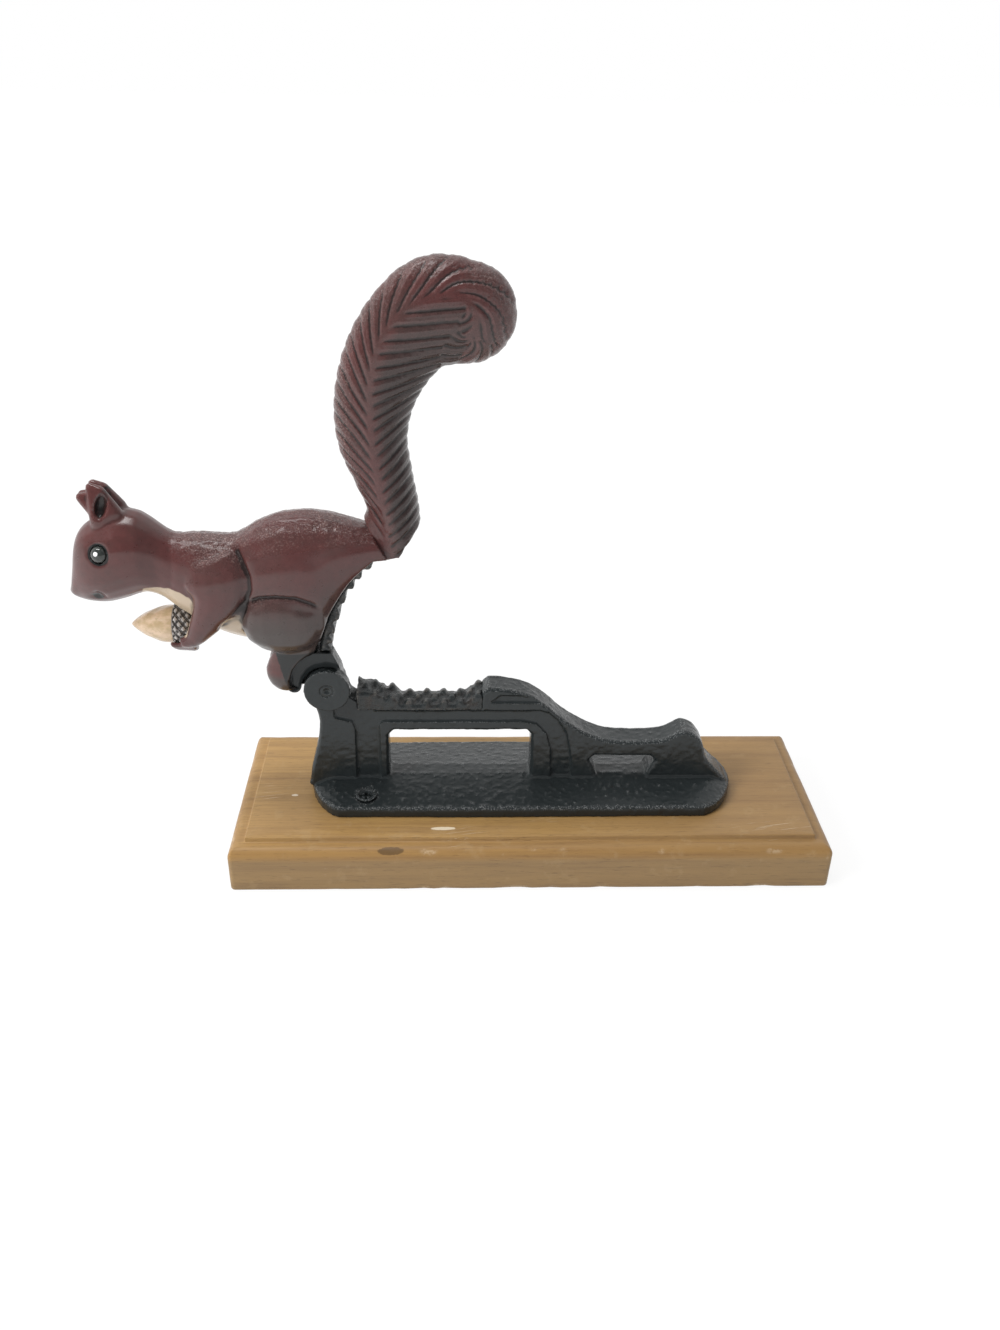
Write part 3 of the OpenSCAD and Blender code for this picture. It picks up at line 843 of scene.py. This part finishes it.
def paint_finish(looks, name, tail=False):
    """Maroon gloss paint over cast iron; the body's layers turn it cream, black and grey, with painted shade in
    hollows and painted highlights on ridges and upper faces.
    """
    paint = Paint(name)
    hollow = paint.layer("hollow")
    broad = paint.noise(16, 3, 0.55)
    mottle = paint.noise(2.4, 4, 0.6)
    dust = paint.noise(0.5, 3, 0.7)
    # painted highlight: pinkish glints on the convex ridges
    ridge_glints = (0 - hollow).above(0.1, 0.7) * mottle.above(0.3, 0.6)
    coats = [
        (broad.above(0.4, 0.62) * 0.4, (0.070, 0.036, 0.032)),
        (mottle.above(0.35, 0.7) * 0.25, tuple(c * 1.6 for c in looks.maroon)),
        # painted reflection on the legs low down, and random grey patches
        ((paint.layer("grey") + (broad - 0.5) * 0.5).held(), looks.worn),
    ]
    if tail:
        # painted shade: the right half of the tail darkened, with its painted highlights dimmed there
        shade = paint.layer("shade")
        ridge_glints = ridge_glints * (1 - shade * 0.7)
        coats += [(ridge_glints * 0.5, (0.19, 0.090, 0.085)), (shade * 0.6, (0.020, 0.014, 0.013))]
    else:
        cream = (paint.layer("cream") + (paint.noise(2.2, 3) - 0.5) * 0.9).above(-0.25, 0.25)
        black = (paint.layer("black") + (paint.noise(2.0, 3) - 0.5) * 1.0).above(-0.2, 0.3)
        # painted highlight on the ridges; the black layer holds black paint, and painted shade at the mouth and
        # in the ears
        coats += [(cream, looks.cream), (black, (0.008, 0.009, 0.009)), (ridge_glints * 0.25, (0.19, 0.10, 0.09))]
    sand = paint.layer("sand")
    # painted highlight: pinkish-white dots on the sandy upper faces
    painted_glints = (sand - 0.25).held() * paint.noise(0.6, 3, 0.6).above(0.52, 0.66) * broad.above(0.35, 0.6)
    coats += [
        # painted shade: the hollows and grooves darkened
        (hollow.above(0.04, 0.4) * 0.85, (0.014, 0.009, 0.008)),
        (painted_glints * 0.65, (0.42, 0.29, 0.26)),
    ]
    colour = paint.coats(looks.maroon, *coats)
    rough = 0.24 + mottle * 0.10 - sand * 0.10 + hollow.above(0.0, 0.4) * 0.15
    relief = (dust * 0.6 + mottle * 0.4) * (0.10 + sand)
    return paint.finish(colour, rough, paint.bump(relief, 0.50), coat=0.3, coat_rough=0.12)


def groove(points, line, width, depth, lowest_y=0.0, valley=0.6):
    """A crease along a line, cut into both flanks: a crisp line in a soft valley."""
    gap, along, _ = near_line(points[:, 0], points[:, 2], line)
    fade = np.clip(np.minimum(along, along.max() - along) / 3.0, 0, 1)
    flank = ramp(lowest_y, lowest_y + 1.5, abs(points[:, 1]))
    return -depth * (bell(gap, width) + valley * bell(gap, 3.2 * width)) * fade * flank


def region(points, outline, deepest_y):
    """How far inside an outline a point is, for points no further from the middle than deepest_y."""
    inside = inside_distance(points[:, 0], points[:, 2], outline)
    return np.clip(np.minimum(inside, deepest_y - abs(points[:, 1])), -3, 3)


def from_eye(p):
    """Distance from the middle of the eye on the same side."""
    return np.linalg.norm(np.column_stack([p[:, 0], abs(p[:, 1]), p[:, 2]]) - EYE, axis=1)


def from_place(p, place, stretch=1.0):
    """Distance in X and Z from a place, with its rings stretched along X."""
    return np.hypot((p[:, 0] - place[0]) / stretch, p[:, 2] - place[1])


def build_body(looks):
    """The squirrel without its tail: smoothed, creased, sanded, with layers for its paints and for its painted
    shade, reflection and highlights.
    """
    skin = recast(cad_copy("squirrel_body", "painted_squirrel"), 0.5)
    p = skin.points - HINGE
    x, y, z = p.T
    eye = from_eye(p)
    ears = ramp(65, 67.5, z) * (x < -60)
    tail_end = ramp(11, 15, x)
    sharp = np.maximum(bell(from_place(p, PAWS), 7), ears)
    sharp = np.maximum(np.maximum(sharp, tail_end), 1 - ramp(4.0, 5.5, eye))
    skin.relax(40, 1 - 0.9 * sharp)
    p = skin.points - HINGE
    y = p[:, 1]
    skin.relax(110, bell(from_place(p, SHOULDER, 1.5), 7) * ramp(3, 6, abs(y)), 0.8)
    p = skin.points - HINGE
    x, y, z = p.T
    thigh = ramp(0, 5, inside_distance(x, z, THIGH)) * ramp(6, 9, abs(y))
    cut = groove(p, FORELEG_BACK, 0.6, looks.crease, 6)
    cut += groove(p, THIGH_TOP, 0.7, looks.crease, 9) + groove(p, THIGH_FRONT, 0.5, 0.6 * looks.crease, 5)
    cut += groove(p, MOUTH, 0.5, looks.crease, 2.5, 0.2) + groove(p, NECK_CREASE, 1.2, 0.3 * looks.crease, 5)
    cut -= 1.2 * looks.crease * bell(from_place(p, MOUTH_CORNER, 1.3), 1.5) * ramp(2, 4, abs(y))
    cut -= 0.4 * bell(eye - 3.6, 0.6)
    skin.rise(cut + 0.8 * thigh)
    p = skin.points - HINGE
    # up: the upward faces from the neck back, which get the sandy grain and, through the sand layer, the
    # painted highlight dots
    up = ramp(0.2, 0.85, skin.normals()[:, 2]) * ramp(-52, -46, p[:, 0])
    skin.rise(0.10 * grain(p, 6, 11) + (0.11 * grain(p, 1.5, 12) + 0.08 * grain(p, 0.9, 13)) * up)
    skin.relax(1)
    p = skin.points - HINGE
    x, y, z = p.T
    cream = np.maximum(region(p, CREAM_CHEST, 9.3), region(p, CREAM_BELLY, 10))
    knuckle_edge = (x + 14.5 + 0.25 * (z - 6)) / 1.2
    black = np.where(z < 15.5, np.clip(knuckle_edge, -3, 3), -3)
    # painted reflection: the thigh and legs made greyer and less red towards the bottom, standing for the pale
    # floor mirrored there, but not the top of the foot
    grey = ramp(46, 24, z) * ramp(-36, -24, x) * 0.9
    foot_top = ramp(4.5, 7.5, z) * ramp(16, 13.5, z) * ramp(-13, -16, x)
    grey *= 1 - 0.9 * foot_top
    black = np.maximum(black, np.clip((3.9 - from_eye(p)) / 0.6, -3, 3))
    # painted shade: the mouth corner's dimple darkened with the black paint
    black = np.maximum(black, np.clip((1.5 - from_place(p, MOUTH_CORNER, 1.3)) / 1.2, -3, 0.3))
    # painted shade: the ear's hollow darkened with the black paint
    ear_x, ear_z = x - EAR_HOLLOW[0], z - EAR_HOLLOW[1]
    ear = np.hypot((ear_x - 0.25 * ear_z) / 2.0, ear_z / 4.3)
    black = np.maximum(black, np.where(abs(y) < 5.2, np.clip((1.0 - ear) * 4, -3, 0.1), -3))
    skin.done(hollow=skin.hollows(), cream=cream, black=black, grey=grey, sand=up)
    return skin.piece


def tail_rings(sides):
    """Rings along the tail, and smaller and smaller ones over its rounded tip."""
    rows = fine_curve(TAIL_LINE, 14)
    heading = np.gradient(rows[:, :2], axis=0)
    heading /= np.linalg.norm(heading, axis=1)[:, None]
    rings = [(*row[:3], row[3] * TAIL_HALF_THICKNESS, *d) for row, d in zip(rows, heading)]
    end_x, end_z, end_wide, end_thick = rings[-1][:4]
    tip_x, tip_z = math.cos(TAIL_TIP_HEADING), math.sin(TAIL_TIP_HEADING)
    for turn in np.radians(np.linspace(3, 90, 30)):
        share = max(math.cos(turn), 0.02)
        reach = math.sin(turn) * end_wide
        at = (end_x + reach * tip_x, end_z + reach * tip_z)
        rings.append((*at, end_wide * share, end_thick * share, tip_x, tip_z))
    a = np.linspace(0, 2 * math.pi, sides, endpoint=False)
    skin = [
        np.column_stack([x - dz * np.cos(a) * wide, np.sin(a) * thick, z + dx * np.cos(a) * wide])
        for x, z, wide, thick, dx, dz in rings
    ]
    return np.array(skin) + HINGE


def fur_height(p, looks):
    """Height of the fur from 0 to 1, with the distance to its spine and the side of it."""
    x, _, z = p.T
    spine = fine_curve(FUR_SPINE, SPINE_STEPS)
    gap, along, side = near_line(x, z, spine)
    # past the spine's end the locks fan out round it
    length, end = along.max(), spine[-1]
    angle = np.arctan2(z - end[1], x - end[0])
    angle = np.where(angle > 2.0, angle - 2 * math.pi, angle)
    along = np.where(along > length - 0.01, length - 7.0 * angle, along)
    ease = 9 * (1 - np.exp(-gap / 9)) + 0.25 * gap
    # on the inner side each lock starts at a height on the spine, and lies flatter the higher it starts
    rising = spine[: SPINE_STEPS * RISING_ROWS + 1]
    start = z
    for _ in range(3):
        slope = 0.9 - 0.82 * ramp(75, 122, start)
        spine_x = np.interp(start, rising[:, 1], rising[:, 0])
        start = z - slope * np.maximum(x - spine_x, 0)
    inner = (side < 0) & (x < 41 + 0.6 * np.clip(z - 120, 0, 12))
    phase = np.where(inner, 1.15 * start, along - 1.5 * ease) / looks.fur_pitch
    phase = phase + 0.18 * side + 0.10 * grain(p, 9, 21)
    lock = np.abs(np.sin(math.pi * phase)) ** 0.55
    strand = np.abs(np.sin(2.5 * math.pi * phase + 0.6)) ** 0.7
    rachis = bell(gap, 1.3)
    return (0.78 * lock + 0.22 * strand) * (1 - rachis) + 0.85 * rachis, gap, side


def build_tail(looks):
    """The tail: lofted, trimmed where it meets the body, as thick there as the body, then furred."""
    piece = new_piece("furred_tail", *loft(tail_rings(64)))
    prism = np.array([[(x, y, z) for x, z in TAIL_ROOM] for y in (40, -40)]) + HINGE
    cutter = new_piece("tail_room", *loft(prism))
    for o in (piece, cutter):
        tidy_normals(o)
    trim = piece.modifiers.new("trim", "BOOLEAN")
    trim.operation = "INTERSECT"
    trim.solver = "EXACT"
    trim.object = cutter
    bake(piece)
    bpy.data.objects.remove(cutter)
    skin = recast(piece, 0.4)
    x, y, z = (skin.points - HINGE).T
    seam, _, _ = near_line(x, z, TAIL_CUT)
    cad = points_of(frame["nodes"]["squirrel_tail"].data) - HINGE
    cad_seam, _, _ = near_line(cad[:, 0], cad[:, 2], TAIL_CUT)
    share = abs(cad[cad_seam < 0.3, 1]).max() / abs(y[seam < 1]).max()
    skin.points[:, 1] *= 1 - (1 - min(share, 1)) * ramp(9, 0.5, seam)
    skin.relax(4, ramp(0.5, 3, seam))
    p = skin.points - HINGE
    height, gap, side = fur_height(p, looks)
    depth = looks.fur_depth * (0.5 + 0.5 * ramp(1.5, 6, abs(p[:, 1]))) * ramp(1, 5, seam)
    skin.rise(-depth * (1 - height) + 0.05 * grain(p, 1.4, 22))
    skin.relax(2, ramp(0.5, 3, seam))
    # painted shade: right of the fur's spine the tail is made greyer and darker; sparkle marks the left half,
    # where the painted highlight dots go
    right = np.where(side < 0, ramp(0.5, 5, gap), 0)
    sparkle = ramp(4, 9, gap) * (side > 0)
    shade = right * (1 - 0.55 * ramp(112, 126, p[:, 2]))
    skin.done(hollow=skin.hollows(1), grey=0.12 + 0.3 * right, shade=shade, sand=0.15 + 0.65 * sparkle)
    return piece


ACORN_TIP = np.array([-66.8, 0, 22.6])
NUT_LENGTH = 15.3
CUP_RADIUS = 7.9
# The cup from its brim to its stalk: length along it, and radius
CUP_PROFILE = [
    (0, 0.3), (0, 6.6), (0.1, 7.3), (0.6, 7.8), (1.6, CUP_RADIUS), (3.4, 7.75), (5.2, 7.25), (6.9, 6.1),
    (8.1, 4.8), (8.9, 3.1), (9.3, 0.3),
]


def acorn_profile(node):
    """Length along and radius of the nut or the cup, from the tip to the stalk."""
    if node == "acorn_nut":
        t = np.linspace(0.004, 1, 40)
        return NUT_LENGTH * t, 6.8 * np.sin(math.pi / 2 * t) ** 0.75
    line = fine_curve(CUP_PROFILE, 5)
    return NUT_LENGTH + line[:, 0], np.clip(line[:, 1], 0.1, CUP_RADIUS)


def build_acorn(node, name):
    """The nut or the cup, turned round the acorn's axis; the cup's skin is hatched both ways."""
    along, radius = acorn_profile(node)
    sides = 120
    angles = np.linspace(0, 2 * math.pi, sides, endpoint=False)
    rings = []
    for s, r in zip(along, radius):
        if node == "acorn_cup" and s > NUT_LENGTH + 0.3:
            turn = (s - NUT_LENGTH) * 1.2
            weave = np.maximum(abs(np.sin(turn + 7 * angles)), abs(np.sin(turn - 7 * angles))) ** 6
            r = r - 0.75 * weave * min(1, r / 6)
        elif node == "acorn_nut":
            r = r * (1 - 0.012 * np.cos(angles * 9 + s)) - 0.05
        ring = np.column_stack([np.full(sides, s), r * np.cos(angles), r * np.sin(angles)])
        rings.append(ring + ACORN_TIP + HINGE)
    piece = new_piece(name, *loft(rings))
    tidy_normals(piece)
    skin = Skin(piece)
    skin.done(hollow=skin.hollows(1))
    return piece


def nut_finish(looks):
    """Pale gold paint, rubbed brown at the tip and in flecks."""
    paint = Paint("acorn_gold_paint")
    streaks = paint.noise(2.6, 3, 0.6, paint.scaled(paint.place, (0.55, 1.0, 1.0)))
    tip = 1 - paint.part(paint.place, 0).above(-139.5, -135.0)
    flecks = paint.noise(1.3, 3, 0.7).above(0.58, 0.70)
    colour = paint.coats(
        looks.nut,
        (streaks.above(0.36, 0.64), (0.68, 0.50, 0.34)),
        (tip * 0.35, (0.30, 0.20, 0.12)),
        (flecks * 0.45, (0.26, 0.17, 0.08)),
    )
    return paint.finish(colour, 0.24 + streaks * 0.16, paint.bump(streaks, 0.15), coat=0.8, coat_rough=0.12)


def cup_finish(looks):
    """Grey-brown paint, with painted highlights on the hatching's ridges and painted shade in its grooves."""
    paint = Paint("acorn_cup_paint")
    hollow = paint.layer("hollow")
    flecks = paint.noise(0.7, 3, 0.7)
    colour = paint.coats(
        looks.cup,
        # painted highlight on the ridges, and painted shade in the grooves
        ((0 - hollow).above(0.0, 0.4), (0.50, 0.46, 0.43)),
        (hollow.above(0.0, 0.4) * 0.85, (0.030, 0.024, 0.020)),
    )
    rough, relief = 0.16 + flecks * 0.16, paint.bump(flecks, 0.3)
    return paint.finish(colour, rough, relief, metallic=0.3, coat=0.9, coat_rough=0.08)


def eye_finish():
    """Black enamel with a painted highlight, a white dot, on each eye."""
    paint = Paint("black_eye_enamel")
    haze = paint.noise(0.8, 2, 0.5)
    colour = paint.mix(haze, (0.016, 0.020, 0.018), (0.050, 0.058, 0.053))
    x, y, z = (paint.part(paint.place, axis) for axis in range(3))
    dot_x, dot_y, dot_z = EYE_HIGHLIGHT + HINGE
    off = (x - dot_x) ** 2.0 + (y.math("ABSOLUTE") - dot_y) ** 2.0 + (z - dot_z) ** 2.0
    # painted highlight: a white dot on each eye
    colour = paint.mix(1 - off.above(0.45, 0.75), colour, (0.95, 0.95, 0.95))
    return paint.finish(colour, 0.06 + haze * 0.06, paint.bump(haze, 0.02), coat=0.5, coat_rough=0.04)


class NUTCRACKER_OT_squirrel(bpy.types.Operator):
    """Builds the painted squirrel's head, trunk, legs and eyes"""

    bl_idname = "nutcracker.squirrel"
    bl_label = "Squirrel"

    def execute(self, context):
        looks = context.scene.nutcracker_squirrel
        finish = paint_finish(looks, "maroon_and_cream_paint")
        dress(build_body(looks), finish, "lever", "squirrel_body")
        wear(frame["nodes"]["eyes"], eye_finish())
        return {"FINISHED"}


class NUTCRACKER_OT_tail(bpy.types.Operator):
    """Builds the tail with its herringbone fur"""

    bl_idname = "nutcracker.tail"
    bl_label = "Tail"

    def execute(self, context):
        looks = context.scene.nutcracker_squirrel
        finish = paint_finish(looks, "maroon_tail_paint", tail=True)
        dress(build_tail(looks), finish, "lever", "squirrel_tail")
        return {"FINISHED"}


class NUTCRACKER_OT_acorn(bpy.types.Operator):
    """Builds the acorn in the paws: the smooth nut and the hatched cup"""

    bl_idname = "nutcracker.acorn"
    bl_label = "Acorn"

    def execute(self, context):
        looks = context.scene.nutcracker_squirrel
        for node, name, finish in (
            ("acorn_nut", "gold_acorn", nut_finish(looks)),
            ("acorn_cup", "hatched_cup", cup_finish(looks)),
        ):
            dress(build_acorn(node, name), finish, "lever", node)
        return {"FINISHED"}


# ---- stage


class StageLooks(bpy.types.PropertyGroup):
    """Camera, lamps and floor."""

    overhead: bpy.props.FloatProperty(name="Overhead lamp", description="Its power, W", default=3.0, min=0)
    side: bpy.props.FloatProperty(name="Side lamp", description="Power of the left lamp, W", default=8.0, min=0)
    sky: bpy.props.FloatProperty(name="Room light", description="Its strength", default=0.9, min=0)


# The camera that took the photograph: focal length in pixels of a frame 1330 high, place in millimetres,
# and its angles in radians
FOCAL = 1151.944
FRAME_HIGH = 1330
CAMERA_AT = (-27.427, -357.956, 275.995)
PITCH, YAW, ROLL = 0.5195541, 0.0440855, 0.0221613


def place_camera():
    """Makes the scene's camera."""
    flat = math.cos(PITCH)
    forward = Vector((math.sin(YAW) * flat, math.cos(YAW) * flat, -math.sin(PITCH)))
    level = Vector((math.cos(YAW), -math.sin(YAW), 0))
    upright = level.cross(forward)
    right = math.cos(ROLL) * level + math.sin(ROLL) * upright
    up = -math.sin(ROLL) * level + math.cos(ROLL) * upright
    lens = bpy.data.cameras.new("camera")
    lens.sensor_fit = "VERTICAL"
    lens.sensor_height = 24
    lens.lens = FOCAL / FRAME_HIGH * lens.sensor_height
    lens.clip_start = 0.01
    lens.clip_end = 50
    camera = add_object("camera", lens)
    turn = Matrix((right, up, -forward)).transposed().to_4x4()
    camera.matrix_world = Matrix.Translation(Vector(CAMERA_AT) * MM) @ turn
    bpy.context.scene.camera = camera


def soft_lamp(name, at, aim, size, power, shape="DISK"):
    """An area lamp at a place in metres, turned to another place."""
    light = bpy.data.lights.new(name, "AREA")
    light.shape = shape
    light.size = size
    light.energy = power
    lamp = add_object(name, light)
    lamp.location = at
    lamp.rotation_euler = (Vector(aim) - Vector(at)).to_track_quat("-Z", "Y").to_euler()
    return lamp


def bare_nodes(owner):
    """The emptied node tree of a material or a world."""
    owner.use_nodes = True
    owner.node_tree.nodes.clear()
    return Nodes(owner.node_tree)


def floor_finish():
    """Pale and matt near the object, where it holds the shadow, and plain white further off."""
    material = bpy.data.materials.new("pale_floor")
    nodes = bare_nodes(material)
    place = nodes.add("ShaderNodeTexCoord", out="Object")
    far = nodes.add("ShaderNodeVectorMath", {"operation": "LENGTH"}, {0: place}, "Value")
    camera = nodes.add("ShaderNodeLightPath", out="Is Camera Ray")
    mirror = nodes.add("ShaderNodeLightPath", out="Is Glossy Ray")
    share = camera * (0.84 + far.above(0.13, 0.24) * 0.16) + mirror * 0.85
    matt = nodes.add("ShaderNodeBsdfDiffuse", {}, {"Color": (0.9, 0.9, 0.9)})
    white = nodes.add("ShaderNodeEmission", {}, {"Strength": 1.05})
    both = nodes.add("ShaderNodeMixShader", {}, {0: share.held(), 1: matt, 2: white})
    nodes.add("ShaderNodeOutputMaterial", {}, {"Surface": both})
    return material


def light_room(level):
    """White for the camera; for the object, white behind it, and darker overhead and in front."""
    world = bpy.data.worlds.new("room")
    bpy.context.scene.world = world
    nodes = bare_nodes(world)
    direction = nodes.add("ShaderNodeTexCoord", out="Generated")
    height = nodes.part(direction, 2)
    front = (1 - nodes.part(direction, 1).above(-0.35, 0.2)) * height.above(0.0, 0.1)
    dim = 0.25 * level
    tone = nodes.mix(front, (level, level, level), (dim, dim, 1.04 * dim))
    tone = nodes.mix(height.above(0.80, 0.96), tone, (dim, dim, dim))
    room = nodes.add("ShaderNodeBackground", {}, {"Color": tone})
    white = nodes.add("ShaderNodeBackground", {}, {"Color": (1, 1, 1)})
    camera = nodes.add("ShaderNodeLightPath", out="Is Camera Ray")
    both = nodes.add("ShaderNodeMixShader", {}, {0: camera, 1: room, 2: white})
    nodes.add("ShaderNodeOutputWorld", {}, {"Surface": both})


class NUTCRACKER_OT_stage(bpy.types.Operator):
    """Sets the camera, the lamps, the room light and the pale floor"""

    bl_idname = "nutcracker.stage"
    bl_label = "Stage"

    def execute(self, context):
        looks = context.scene.nutcracker_stage
        place_camera()
        above, middle = (-0.275, 0.03, 0.94), (-0.05, 0, 0.1)
        overhead = soft_lamp("overhead_lamp", above, middle, 0.18, looks.overhead, "RECTANGLE")
        overhead.data.size_y = 0.55
        side = soft_lamp("side_lamp", (-0.80, -0.45, 0.70), (0, 0, 0.08), 0.45, looks.side)
        side.visible_glossy = False
        light_room(looks.sky)
        far = 4000
        corners = [(-far, -far, 0), (far, -far, 0), (far, far, 0), (-far, far, 0)]
        floor = new_piece("floor", corners, [(0, 1, 2, 3)])
        wear(floor, floor_finish())
        context.scene.view_settings.view_transform = "Standard"
        return {"FINISHED"}


class NUTCRACKER_PT_panel(bpy.types.Panel):
    """Lists the nutcracker's pieces"""

    bl_label = "Nutcracker"
    bl_idname = "NUTCRACKER_PT_panel"
    bl_space_type = "VIEW_3D"
    bl_region_type = "UI"
    bl_category = "Nutcracker"

    def draw(self, context):
        for operator in OPERATORS:
            self.layout.operator(operator.bl_idname)


OPERATORS = (
    NUTCRACKER_OT_plinth,
    NUTCRACKER_OT_base_casting,
    NUTCRACKER_OT_jaws,
    NUTCRACKER_OT_fixings,
    NUTCRACKER_OT_squirrel,
    NUTCRACKER_OT_tail,
    NUTCRACKER_OT_acorn,
    NUTCRACKER_OT_stage,
)
LOOKS = {
    "nutcracker_plinth": PlinthLooks,
    "nutcracker_casting": CastingLooks,
    "nutcracker_squirrel": SquirrelLooks,
    "nutcracker_stage": StageLooks,
}


def register():
    for item in (*LOOKS.values(), *OPERATORS, NUTCRACKER_PT_panel):
        bpy.utils.register_class(item)
    for name, looks in LOOKS.items():
        setattr(bpy.types.Scene, name, bpy.props.PointerProperty(type=looks))


def unregister():
    for name in LOOKS:
        delattr(bpy.types.Scene, name)
    for item in (NUTCRACKER_PT_panel, *reversed(OPERATORS), *LOOKS.values()):
        bpy.utils.unregister_class(item)


def main():
    register()
    for piece in ("plinth", "base_casting", "jaws", "fixings", "squirrel", "tail", "acorn", "stage"):
        getattr(bpy.ops.nutcracker, piece)()


if __name__ == "__main__":
    main()
